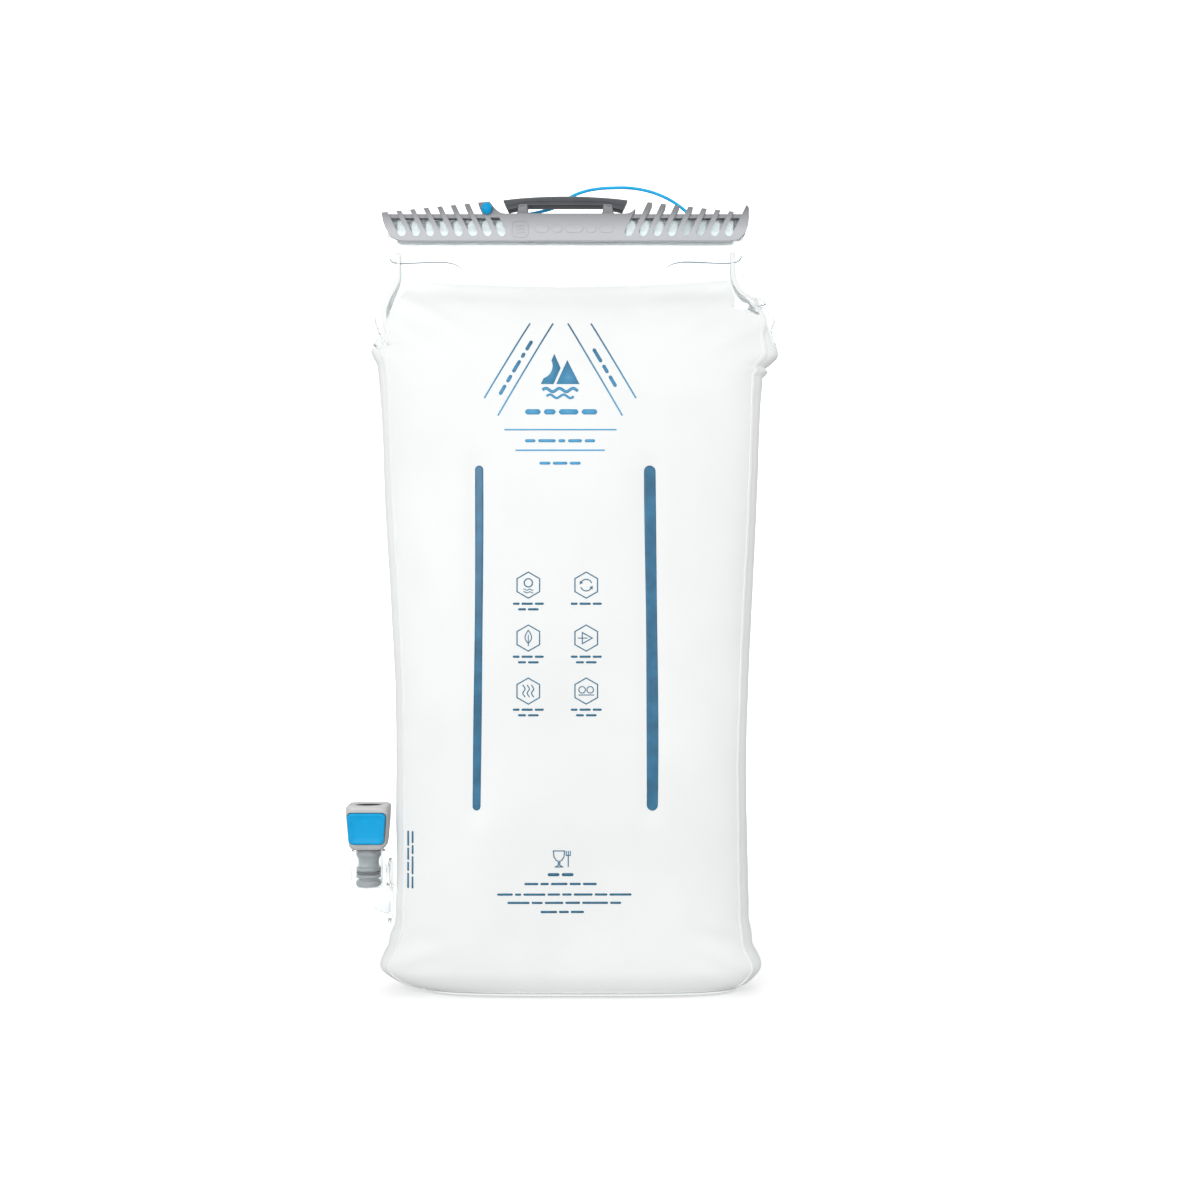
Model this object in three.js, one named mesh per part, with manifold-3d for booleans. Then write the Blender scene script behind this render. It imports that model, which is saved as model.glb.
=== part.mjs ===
// A three litre hydration bladder: a gusseted film bag with an internal baffle, a slide-on
// mouth clip with a carry handle, a leash that keeps the clip, and a side port whose
// self-sealing coupling takes a drinking hose.
// Millimetres. +X is to the right, +Y away from the front, +Z up. The origin is on the
// underside of the sole, under the middle of the mouth.
import * as THREE from "three";
import { LoftGeometry } from "three/addons/geometries/LoftGeometry.js";
import { mergeVertices } from "three/addons/utils/BufferGeometryUtils.js";
import Module from "manifold-3d";

// ---- Driving dimensions ----
const GAP = 0.3; // between pieces that touch or are welded
const FILM = 0.5; // thickness of the bag's film

// The bag
const BAG_HEIGHT = 383; // to the top edge of the mouth
const BAG_WIDTH = 189; // at the heel and the chest
const HIP_WIDTH = 176;
const WAIST_WIDTH = 174.6;
const SHOULDER_WIDTH = 197;
const MOUTH_WIDTH = 177;
const SOLE_WIDTH = 150;
const BAG_DEPTH = 60;
const SOLE_DEPTH = 46;
const MOUTH_GAP = 5; // free space between the two lips
const HEEL_HEIGHT = 12.7;
const BAG_LEAN = 3; // how far the filled bag hangs to the right of its mouth
const SEAM_INSET = 5; // from the bag's side to the seam of a front or back panel
const BAG_SQUARENESS = 3.4; // exponent of the superellipse that a level section follows
const MOUTH_SQUARENESS = 12;

// The baffle: two webs of film between the front and the back
const BAFFLE_SPACING = 84; // between the middles of the two weld strips
const BAFFLE_STRIP = 6; // width of a weld strip
const BAFFLE_BOTTOM = 92;
const BAFFLE_TOP = 258;

// The mouth rails
const RAIL_THICKNESS = 1.3;
const RAIL_HEIGHT = 8.2;
const RAIL_END_INSET = 2; // from the mouth's side to the rails' ends
const RAIL_DROP = 0.3; // from the mouth's top edge down to the rail

// The slide clip
const CLIP_WALL = 1.5;
const CLIP_CLEARANCE = 0.45; // round the film and the rails
const CLIP_END_CLEARANCE = 1.25; // from the mouth's side to the clip's end wall
const CLIP_CORNER = 11.5;
const CLIP_EDGE = 0.4; // chamfer along the lower edges
const CLIP_HOOK_HEIGHT = 1.9;
const CLIP_HOOK_DROP = 0.6; // from the rails down to the hooks
const CLIP_WEB = 2;
const CLIP_HEADROOM = 0.6; // from the mouth's top edge up to the web
const WING_RISE = 6; // of a wing's inner end above the web
const WING_OUTER_RISE = 0.5;
const WING_INNER_X = 37.5;
const WING_FOOT_X = 30;
const TAB_RISE = 4.3;
const TAB_WIDTH = 4;
const SLOT_WIDTH = 4;
const SLOT_COUNT = 8; // on each side
const SLOT_FIRST_X = 31.5;
const SLOT_LAST_INSET = 10.05; // from the clip's end to the foot of the outermost slot
const SLOT_SLANT = THREE.MathUtils.degToRad(25.7);
const SLOT_BOTTOM = 2.4; // above the clip's lower edge

// The carry handle
const HANDLE_LENGTH = 62;
const HANDLE_DEPTH = 10.5;
const HANDLE_THICKNESS = 5.2;
const HANDLE_ARCH = 1.8;
const HANDLE_GAP = 4.3; // from the clip up to the flat that a hanger bears on
const HANDLE_END_DROP = 2.3; // from that flat down to the bar's ends
const HANDLE_END_SLANT = 2.8;
const POST_SPACING = 42.4;
const POST_WIDTH = 5.1;
const POST_DEPTH = 7.5;
const POST_SETBACK = 0.8; // from the bar's front
const PEG_RADIUS = 1.4;

// The leash
const CORD_DIAMETER = 1.6;
const BALL_RADIUS = 2.8;
const BALL_X = -38.9;
const BALL_RISE = 2.3; // of its middle above the web
const BALL_REACH = 1; // of its middle in front of the clip
const FERRULE_RADIUS = 1.9;
const FERRULE_LENGTH = 7;
const LEASH_TAB_WIDTH = 13;
const LEASH_TAB_THICKNESS = 0.9;
const LEASH_TAB_DROP = 11.5; // from the clip's lower edge down to the tab's foot

// The port
const PORT_HEIGHT = 42.5; // of the port hole's middle
const PORT_RADIUS = 5;
const PORT_REACH = 14.4; // from the gusset to the coupling's axis
const ELBOW_WALL = 2.6;
const ELBOW_BEND = 11;
const ELBOW_RISE = 26.1; // of its rim above the port hole's middle
const FLANGE_THICKNESS = 1.6;
const FLANGE_WIDTH = 24;
const FLANGE_BELOW = 12.5; // the port hole's middle
const FLANGE_ABOVE = 22.5;
const RIB_HALF_THICKNESS = 1;

// The coupling
const STEM_RADIUS = 6.3; // of its widest rings
const STEM_RISE = 8.2; // of its lower end above the port hole's middle
const RING_GROOVE = 1.6; // depth of the grooves between the rings
const STEM_WALL = 0.8; // between a groove and the valve's chamber
const NECK_STEP = 0.5; // how much slimmer the stem is where it is held in the housing
const NECK_HEIGHT = 7; // held in the housing
const SEAT_WIDTH = 1.5; // of the valve seat's ledge
const SEAT_RISE = 21.3; // of the valve seat above the stem's lower end
const RING_WIRE = 0.55; // half the thickness of the stem's and the valve's sealing rings
const SOCKET_RADIUS = 5; // of the bore that takes a hose plug
const SOCKET_LEAD = 2.5; // how much wider its mouth is
const SOCKET_RING_WIRE = 0.7;
const HOUSING_HEIGHT = 22;
const HOUSING_GAP = 1.1; // from the elbow's rim to the housing
const BUTTON_HALF_WIDTH = 9.5;
const BUTTON_TAPER = 0.8; // narrower at its foot, on each side
const BUTTON_THICKNESS = 2.3;
const BUTTON_TRAVEL = 1.6;
const BUTTON_INSET_BELOW = 3.1; // from the housing's lower edge to the button
const BUTTON_INSET_ABOVE = 3.5;
const BUTTON_CORNER = 2;
const HOUSING_CHEEK = 1; // from the button's side to the housing's
const LATCH_THICKNESS = 1.2;
const LATCH_INSET = 3.2; // from the button's upper edge down to the latch
const LATCH_BITE = 0.9; // how far the latch reaches into the socket
const SPRING_INSET = 3; // from the button's side to the middle of its springs
const SPRING_RISE = 2.4; // of the springs above the button's lower edge
const SPRING_POCKET_RADIUS = 2;
const VALVE_PIN_REACH = 3.5; // above the stem's upper end

// ---- Levels and places worked out from them ----
const MOUTH_HALF_DEPTH = MOUTH_GAP / 2 + FILM;
const SOLE_LEVEL = FILM + GAP;
const RAIL_TOP = BAG_HEIGHT - RAIL_DROP;
const RAIL_BOTTOM = RAIL_TOP - RAIL_HEIGHT;
const RAIL_INNER = MOUTH_HALF_DEPTH + GAP;
const CAVITY_HALF = RAIL_INNER + RAIL_THICKNESS + CLIP_CLEARANCE;
const CLIP_HALF_DEPTH = CAVITY_HALF + CLIP_WALL;
const CLIP_END = MOUTH_WIDTH / 2 + CLIP_END_CLEARANCE + CLIP_WALL;
const SLOT_PITCH = (CLIP_END - SLOT_LAST_INSET - SLOT_FIRST_X) / (SLOT_COUNT - 1);
const HOOK_TOP = RAIL_BOTTOM - CLIP_HOOK_DROP;
const CLIP_BOTTOM = HOOK_TOP - CLIP_HOOK_HEIGHT;
const WEB_BOTTOM = BAG_HEIGHT + CLIP_HEADROOM;
const WEB_TOP = WEB_BOTTOM + CLIP_WEB;
const BALL_HEIGHT = WEB_TOP + BALL_RISE;
const BALL_Y = -CLIP_HALF_DEPTH - BALL_REACH;

const FLANGE_BOTTOM = PORT_HEIGHT - FLANGE_BELOW;
const FLANGE_TOP = PORT_HEIGHT + FLANGE_ABOVE;
const ELBOW_RADIUS = STEM_RADIUS + GAP + ELBOW_WALL;
const ELBOW_TOP = PORT_HEIGHT + ELBOW_RISE;
const STEM_BOTTOM = PORT_HEIGHT + STEM_RISE;
const GROOVE_RADIUS = STEM_RADIUS - RING_GROOVE;
const CHAMBER_RADIUS = GROOVE_RADIUS - STEM_WALL;
const SEAT_RADIUS = CHAMBER_RADIUS - SEAT_WIDTH;
const SEAT_HEIGHT = STEM_BOTTOM + SEAT_RISE;
const NECK_RADIUS = STEM_RADIUS - NECK_STEP;
const HOUSING_BOTTOM = ELBOW_TOP + HOUSING_GAP;
const HOUSING_TOP = HOUSING_BOTTOM + HOUSING_HEIGHT;
const STEM_TOP = HOUSING_BOTTOM + NECK_HEIGHT;
const SOCKET_MOUTH_RADIUS = SOCKET_RADIUS + SOCKET_LEAD;
const POCKET_BACK = SOCKET_RADIUS + 2.1; // from the coupling's axis to the floor of the button's pocket
const BUTTON_BOTTOM = HOUSING_BOTTOM + BUTTON_INSET_BELOW;
const BUTTON_TOP = HOUSING_TOP - BUTTON_INSET_ABOVE;
const BUTTON_BACK = -POCKET_BACK - BUTTON_TRAVEL - GAP;
const BUTTON_FRONT = BUTTON_BACK - BUTTON_THICKNESS;
const LATCH_HEIGHT = BUTTON_TOP - LATCH_INSET;
const LATCH_REAR = SOCKET_RADIUS + 2;
const SPRING_X = BUTTON_HALF_WIDTH - SPRING_INSET;
const SPRING_HEIGHT = BUTTON_BOTTOM + SPRING_RISE;
const SPRING_FRONT = BUTTON_FRONT + 0.8;
const SPRING_REAR = -POCKET_BACK + 1.6;

// ---- Helpers ----
const wasm = await Module();
wasm.setup();
const bladder = new THREE.Group();

function toSolid(geometry) {
  const bare = new THREE.BufferGeometry().setAttribute("position", geometry.getAttribute("position"));
  if (geometry.index) bare.setIndex(geometry.index);
  const merged = mergeVertices(bare, 1e-4);
  return new wasm.Manifold(
    new wasm.Mesh({
      numProp: 3,
      vertProperties: merged.attributes.position.array,
      triVerts: new Uint32Array(merged.index.array),
    }),
  );
}

function toGeometry(solid) {
  const mesh = solid.getMesh();
  return new THREE.BufferGeometry()
    .setAttribute("position", new THREE.BufferAttribute(mesh.vertProperties, 3))
    .setIndex(new THREE.BufferAttribute(mesh.triVerts, 1))
    .toNonIndexed();
}

// body joined with the geometries in added, then cut by those in removed.
function carve(body, removed, added = []) {
  let solid = toSolid(body);
  for (const geometry of added) solid = solid.add(toSolid(geometry));
  for (const geometry of removed) solid = solid.subtract(toSolid(geometry));
  return toGeometry(solid);
}

function place(name, geometry, material, parent = bladder) {
  geometry.computeVertexNormals();
  const mesh = new THREE.Mesh(geometry, material);
  mesh.name = name;
  parent.add(mesh);
  return mesh;
}

function block(x0, x1, y0, y1, z0, z1) {
  const middle = [(x0 + x1) / 2, (y0 + y1) / 2, (z0 + z1) / 2];
  return new THREE.BoxGeometry(x1 - x0, y1 - y0, z1 - z0).translate(...middle);
}

// A shape drawn in X and Z, made solid from y0 to y1.
function upright(shape, y0, y1, options = {}) {
  const settings = { depth: y1 - y0, bevelEnabled: false, curveSegments: 6, ...options };
  return new THREE.ExtrudeGeometry(shape, settings).rotateX(Math.PI / 2).translate(0, y1, 0);
}

// A shape drawn in Y and Z, made solid from x0 to x1.
function lengthwise(shape, x0, x1) {
  return new THREE.ExtrudeGeometry(shape, { depth: x1 - x0, bevelEnabled: false, curveSegments: 6 })
    .rotateX(Math.PI / 2)
    .rotateZ(Math.PI / 2)
    .translate(x0, 0, 0);
}

function polygon(points) {
  return new THREE.Shape(points.map(([x, y]) => new THREE.Vector2(x, y)));
}

function circle(x, y, radius) {
  const shape = new THREE.Shape();
  shape.absarc(x, y, radius, 0, 2 * Math.PI);
  return shape;
}

// Points of radius and height, closed on themselves, turned about the Z axis.
function turned(points, segments = 24) {
  const profile = [...points, points[0]].map(([radius, height]) => new THREE.Vector2(radius, height));
  return new THREE.LatheGeometry(profile, segments).rotateX(Math.PI / 2);
}

function disc(radius, z0, z1, segments = 24) {
  return new THREE.CylinderGeometry(radius, radius, z1 - z0, segments)
    .rotateX(Math.PI / 2)
    .translate(0, 0, (z0 + z1) / 2);
}

function ring(radius, thickness, segments = 24) {
  return new THREE.TorusGeometry(radius, thickness, 6, segments);
}

// A round rod of the given radius along a curve.
function rod(curve, radius, steps, sides = 8) {
  const settings = { steps, extrudePath: curve, curveSegments: sides / 2, bevelEnabled: false };
  return new THREE.ExtrudeGeometry(circle(0, 0, radius), settings);
}

class Coil extends THREE.Curve {
  constructor(radius, length, turns) {
    super();
    Object.assign(this, { radius, length, turns });
  }

  getPoint(share, target = new THREE.Vector3()) {
    const angle = share * this.turns * 2 * Math.PI;
    return target.set(this.radius * Math.cos(angle), this.radius * Math.sin(angle), share * this.length);
  }
}

// ---- Materials ----
function finish(color, roughness, extra = {}) {
  const settings = { color, roughness, metalness: 0, side: THREE.DoubleSide, ...extra };
  return new THREE.MeshStandardMaterial(settings);
}

const frostedFilm = finish(0xeef2f0, 0.5, { transparent: true, opacity: 0.85 });
const clearPlastic = finish(0xf2f4f4, 0.2, { transparent: true, opacity: 0.5 });
const tealFilm = finish(0x3f7896, 0.45);
const clipPlastic = finish(0x8b8f92, 0.45);
const handlePlastic = finish(0x64696c, 0.4);
const bluePlastic = finish(0x28a7e0, 0.35);
const blueCord = finish(0x1fb0f0, 0.4);
const housingPlastic = finish(0xb8b5b2, 0.4);
const stemPlastic = finish(0x8e9399, 0.35);
const sealRubber = finish(0x3b4046, 0.7);
const springSteel = finish(0xc4c7ca, 0.3, { metalness: 1 });

// ---- The bag's shape: level sections from the sole to the mouth ----
const NECK_DROP = 15; // from the clip's lower edge to where the neck starts
const NECK_SWELL = 6; // how much deeper the bag is there than its mouth
const MOUTH_DEPTH = 2 * MOUTH_HALF_DEPTH;
const CHEST_WIDTH = (WAIST_WIDTH + BAG_WIDTH) / 2;

function level(z, width, depth, lean = BAG_LEAN, square = BAG_SQUARENESS) {
  return { z, width, depth, lean, square };
}

const bagSections = [
  level(SOLE_LEVEL, SOLE_WIDTH, SOLE_DEPTH, 2 * BAG_LEAN),
  level(HEEL_HEIGHT, BAG_WIDTH, BAG_DEPTH),
  level(0.09 * BAG_HEIGHT, HIP_WIDTH, BAG_DEPTH),
  level(0.27 * BAG_HEIGHT, WAIST_WIDTH, BAG_DEPTH),
  level(0.51 * BAG_HEIGHT, CHEST_WIDTH, BAG_DEPTH),
  level(0.77 * BAG_HEIGHT, BAG_WIDTH, 0.92 * BAG_DEPTH),
  level(0.884 * BAG_HEIGHT, SHOULDER_WIDTH, 0.6 * BAG_DEPTH),
  level(CLIP_BOTTOM - NECK_DROP, MOUTH_WIDTH, MOUTH_DEPTH + NECK_SWELL, 0),
  level(CLIP_BOTTOM - 2, MOUTH_WIDTH, MOUTH_DEPTH, 0, MOUTH_SQUARENESS),
  level(CLIP_BOTTOM + 1, MOUTH_WIDTH, MOUTH_DEPTH, 0, MOUTH_SQUARENESS),
  level(BAG_HEIGHT, MOUTH_WIDTH, MOUTH_DEPTH, 0, MOUTH_SQUARENESS),
];
const WIDE_STEP = 8; // sections further apart than this have a row between them
const PANEL_COLUMNS = 12;
const GUSSET_COLUMNS = 6;

const bagInterpolant = new THREE.CubicInterpolant(
  bagSections.map((section) => section.z),
  bagSections.flatMap(({ width, depth, square, lean }) => [width / 2, depth / 2, square, lean]),
  4,
);

function bagAt(z, inset = 0) {
  const [half, deep, square, lean] = bagInterpolant.evaluate(z);
  return { half: half - inset, deep: deep - inset, square, lean, seam: half - SEAM_INSET };
}

// The other coordinate of a superellipse, as a share of its half axis.
function rounded(share, square) {
  return Math.max(0, 1 - Math.abs(share) ** square) ** (1 / square);
}

const bagRows = bagSections.slice(1).flatMap((section, i) => {
  const from = bagSections[i].z;
  return section.z - from > WIDE_STEP ? [from, (from + section.z) / 2] : [from];
});
bagRows.push(BAG_HEIGHT, BAFFLE_BOTTOM, BAFFLE_TOP, FLANGE_BOTTOM);
bagRows.sort((a, b) => a - b);

// One film panel, from a function that gives a point of a row at an inset from the bag's surface.
function filmPanel(rows, columns, pointAt, flipped) {
  const sections = rows.map((z) => {
    const columnPoint = (inset) => (_, i) => pointAt(-1 + (2 * i) / columns, z, inset);
    const face = (inset) => Array.from({ length: columns + 1 }, columnPoint(inset));
    const section = [...face(0), ...face(FILM).reverse()];
    return flipped ? section.reverse() : section;
  });
  return new LoftGeometry(sections, { capStart: true, capEnd: true });
}

// A panel of the front (side -1) or the back (side 1); share runs from -1 to 1 across it.
function broadPoint(side) {
  return (share, z, inset) => {
    const { half, deep, square, lean, seam } = bagAt(z, inset);
    const x = seam * Math.sin((share * Math.PI) / 2);
    return new THREE.Vector3(lean + x, side * deep * rounded(x / half, square), z);
  };
}

// A side gusset, on the left (side -1) or the right (side 1).
function gussetPoint(side) {
  return (share, z, inset) => {
    const { half, deep, square, lean, seam } = bagAt(z, inset);
    const y = share * deep * rounded((seam + GAP) / half, square);
    return new THREE.Vector3(lean + side * half * rounded(y / deep, square), y, z);
  };
}

function addBag() {
  const portHole = new THREE.CylinderGeometry(PORT_RADIUS, PORT_RADIUS, SHOULDER_WIDTH / 2, 24)
    .rotateZ(Math.PI / 2)
    .translate(-SHOULDER_WIDTH / 2, 0, PORT_HEIGHT);
  place("front_panel", filmPanel(bagRows, PANEL_COLUMNS, broadPoint(-1), false), frostedFilm);
  place("back_panel", filmPanel(bagRows, PANEL_COLUMNS, broadPoint(1), true), frostedFilm);
  place("right_gusset", filmPanel(bagRows, GUSSET_COLUMNS, gussetPoint(1), false), frostedFilm);
  const leftGusset = filmPanel(bagRows, GUSSET_COLUMNS, gussetPoint(-1), true);
  place("left_gusset", carve(leftGusset, [portHole]), frostedFilm);

  const { half, deep, square, lean } = bagAt(SOLE_LEVEL);
  const sole = new THREE.Shape();
  for (const [acrossSide, deepSide] of [[1, 1], [-1, 1], [-1, -1], [1, -1]]) {
    for (let i = 0; i < 8; i++) {
      const turn = acrossSide === deepSide ? i / 8 : 1 - i / 8;
      const share = Math.cos((turn * Math.PI) / 2) ** (2 / square);
      const point = [lean + acrossSide * half * share, deepSide * deep * rounded(share, square)];
      if (sole.curves.length || sole.currentPoint.lengthSq()) sole.lineTo(...point);
      else sole.moveTo(...point);
    }
  }
  place("sole_gusset", new THREE.ExtrudeGeometry(sole, { depth: FILM, bevelEnabled: false }), frostedFilm);
}

// ---- Baffle: a web of film from front to back, with a weld strip along each edge ----
function addBaffle(name, side) {
  const rows = bagRows.filter((z) => z >= BAFFLE_BOTTOM && z <= BAFFLE_TOP);
  const inner = BAFFLE_SPACING / 2 - BAFFLE_STRIP / 2;
  const sections = rows.map((z) => {
    const { half, deep, square, lean } = bagAt(z, FILM + GAP);
    const reach = (x) => deep * rounded((side * x - lean) / half, square);
    const strip = inner + BAFFLE_STRIP;
    const outside = [
      [strip, -reach(strip)],
      [inner, -reach(inner)],
      [inner, reach(inner)],
      [strip, reach(strip)],
    ];
    const inside = [
      [strip, reach(strip) - FILM],
      [inner + FILM, reach(inner + FILM) - FILM],
      [inner + FILM, FILM - reach(inner + FILM)],
      [strip, FILM - reach(strip)],
    ];
    const section = [...outside, ...inside].map(([x, y]) => new THREE.Vector3(side * x, y, z));
    return side > 0 ? section.reverse() : section;
  });
  place(name, new LoftGeometry(sections, { capStart: true, capEnd: true }), tealFilm);
}

// ---- Mouth rails: a stiff strip welded outside each lip, which the clip hooks under ----
function addRail(name, side) {
  const inner = side * RAIL_INNER;
  const outer = side * (RAIL_INNER + RAIL_THICKNESS);
  const chamfer = RAIL_THICKNESS / 2;
  const points = [
    [inner, RAIL_BOTTOM],
    [outer, RAIL_BOTTOM],
    [outer, RAIL_TOP - chamfer],
    [outer - side * chamfer, RAIL_TOP],
    [inner, RAIL_TOP],
  ];
  const section = polygon(side > 0 ? points : points.reverse());
  const end = MOUTH_WIDTH / 2 - RAIL_END_INSET;
  place(name, lengthwise(section, -end, end), clearPlastic);
}

// ---- Slide clip ----
function slotShape(side, index) {
  const radius = SLOT_WIDTH / 2;
  const footX = side * (SLOT_FIRST_X + index * SLOT_PITCH);
  const foot = new THREE.Vector2(footX, CLIP_BOTTOM + SLOT_BOTTOM + radius);
  const tall = 2 * (WEB_TOP + WING_RISE - CLIP_BOTTOM); // past the top of the clip
  const arc = Array.from({ length: 7 }, (_, i) => {
    const angle = Math.PI + (i * Math.PI) / 6;
    return new THREE.Vector2(radius * Math.cos(angle), radius * Math.sin(angle));
  });
  const points = [new THREE.Vector2(-radius, tall), ...arc, new THREE.Vector2(radius, tall)];
  const centre = new THREE.Vector2();
  return new THREE.Shape(points.map((p) => p.rotateAround(centre, -side * SLOT_SLANT).add(foot)));
}

function clipOutline() {
  const end = CLIP_END;
  const outline = new THREE.Shape();
  outline.moveTo(-end, WEB_TOP + WING_OUTER_RISE);
  outline.quadraticCurveTo(CLIP_WALL - end, CLIP_BOTTOM, CLIP_CORNER - end, CLIP_BOTTOM);
  outline.lineTo(end - CLIP_CORNER, CLIP_BOTTOM);
  outline.quadraticCurveTo(end, CLIP_BOTTOM, end, CLIP_BOTTOM + CLIP_CORNER);
  const tabRadius = TAB_WIDTH / 2;
  outline.lineTo(end, WEB_TOP + TAB_RISE - tabRadius);
  outline.absarc(end - tabRadius, WEB_TOP + TAB_RISE - tabRadius, tabRadius, 0, Math.PI);
  outline.lineTo(end - TAB_WIDTH, WEB_TOP + WING_OUTER_RISE);
  outline.lineTo(WING_INNER_X, WEB_TOP + WING_RISE);
  const wingBend = (WING_INNER_X + WING_FOOT_X) / 2;
  outline.quadraticCurveTo(wingBend, WEB_TOP, WING_FOOT_X, WEB_TOP);
  outline.lineTo(-WING_FOOT_X, WEB_TOP);
  outline.quadraticCurveTo(-wingBend, WEB_TOP, -WING_INNER_X, WEB_TOP + WING_RISE);
  return outline;
}

function addClip() {
  const far = 2 * CLIP_END; // beyond the clip on every side
  const endWall = CLIP_END - CLIP_WALL;
  const throat = MOUTH_HALF_DEPTH + CLIP_CLEARANCE;
  const edges = [-1, 1].map((side) => {
    const points = [
      [side * (CLIP_HALF_DEPTH + 1), CLIP_BOTTOM - 1],
      [side * (CLIP_HALF_DEPTH + 1), CLIP_BOTTOM + CLIP_EDGE + 1],
      [side * (CLIP_HALF_DEPTH - CLIP_EDGE - 1), CLIP_BOTTOM - 1],
    ];
    return lengthwise(polygon(side > 0 ? points : points.reverse()), -far, far);
  });
  const slots = [];
  for (let index = 0; index < SLOT_COUNT; index++) {
    for (const side of [-1, 1]) {
      const shape = slotShape(side, index);
      const underBall = side < 0 && index === 0;
      const top = underBall ? WEB_BOTTOM : far + WEB_TOP;
      const belowTop = toSolid(block(-far, far, -far, far, 0, top));
      const walls = [
        upright(shape, -CLIP_HALF_DEPTH - 1, -CAVITY_HALF),
        upright(shape, CAVITY_HALF, CLIP_HALF_DEPTH + 1),
      ];
      slots.push(...walls.map((wall) => toGeometry(toSolid(wall).intersect(belowTop))));
      if (underBall) continue;
      const between = toSolid(upright(shape, -CLIP_HALF_DEPTH, CLIP_HALF_DEPTH));
      const aboveWeb = toSolid(block(-far, far, -far, far, WEB_TOP, far + WEB_TOP));
      slots.push(toGeometry(between.intersect(aboveWeb)));
    }
  }
  const ballPocket = new THREE.SphereGeometry(BALL_RADIUS + GAP, 12, 8);
  ballPocket.translate(BALL_X, BALL_Y, BALL_HEIGHT);
  const cordHole = upright(circle(BALL_X, BALL_HEIGHT, CORD_DIAMETER / 2 + GAP), -far, far);
  const pegHoles = [-1, 1].map((side) =>
    disc(PEG_RADIUS + GAP, WEB_BOTTOM - 1, WEB_TOP + 1, 12).translate((side * POST_SPACING) / 2, 0, 0),
  );
  const body = upright(clipOutline(), -CLIP_HALF_DEPTH, CLIP_HALF_DEPTH);
  const cavity = block(-far, endWall, -CAVITY_HALF, CAVITY_HALF, HOOK_TOP, WEB_BOTTOM);
  const opening = block(-far, endWall, -throat, throat, CLIP_BOTTOM - 1, HOOK_TOP + 1);
  const cuts = [cavity, opening, ...edges, ...slots, ballPocket, cordHole, ...pegHoles];
  place("slide_clip", carve(body, cuts), clipPlastic);
}

function addHandle() {
  const end = HANDLE_LENGTH / 2;
  const endFoot = end - HANDLE_END_SLANT;
  const rest = WEB_TOP + HANDLE_GAP;
  const restEnd = (POST_SPACING - POST_WIDTH) / 2;
  const crown = rest + HANDLE_THICKNESS;
  const bar = new THREE.Shape();
  bar.moveTo(-endFoot, rest - HANDLE_END_DROP);
  bar.lineTo(-restEnd, rest);
  bar.lineTo(restEnd, rest);
  bar.lineTo(endFoot, rest - HANDLE_END_DROP);
  bar.lineTo(end, crown - HANDLE_ARCH);
  bar.quadraticCurveTo(0, crown + HANDLE_ARCH, -end, crown - HANDLE_ARCH);
  const grip = upright(bar, -HANDLE_DEPTH / 2, HANDLE_DEPTH / 2, { curveSegments: 12 });
  const posts = [-1, 1].flatMap((side) => {
    const x = (side * POST_SPACING) / 2;
    const front = -HANDLE_DEPTH / 2 + POST_SETBACK;
    const [left, right] = [x - POST_WIDTH / 2, x + POST_WIDTH / 2];
    return [
      block(left, right, front, front + POST_DEPTH, WEB_TOP + GAP, rest + 1),
      disc(PEG_RADIUS, WEB_BOTTOM + GAP, WEB_TOP + 2 * GAP, 12).translate(x, 0, 0),
    ];
  });
  place("carry_handle", carve(grip, [], posts), handlePlastic);
}

// ---- Leash: a ball at the clip's front, a cord over the top, and a ferrule on a tab behind ----
// The cord's points past the ball: X and Y, and the height above the clip's web.
const leashRoute = [
  [-38.9, 1, 2.3],
  [-38.9, 6.2, 2.3],
  [-37.6, 9.6, 2.3],
  [-34.4, 11.6, 2.4],
  [-30, 12.2, 2.5],
  [-24, 11.6, 2.8],
  [-18, 10.6, 3.4],
  [-12, 10.2, 4.6],
  [-6.5, 10.2, 6.2],
  [-1.5, 10.1, 9],
  [3.8, 10, 12.5],
  [10.6, 9.9, 14.9],
  [17.3, 9.8, 16],
  [24.1, 9.8, 16.4],
  [30.9, 9.8, 16.4],
  [37.6, 9.8, 15.6],
  [44.4, 9.9, 13.9],
  [51, 10.1, 11.2],
  [56.6, 10.4, 7.9],
  [60.9, 10.7, 4.4],
  [63.6, 10.9, 0.8],
  [64.6, 11, -3],
];

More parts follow.
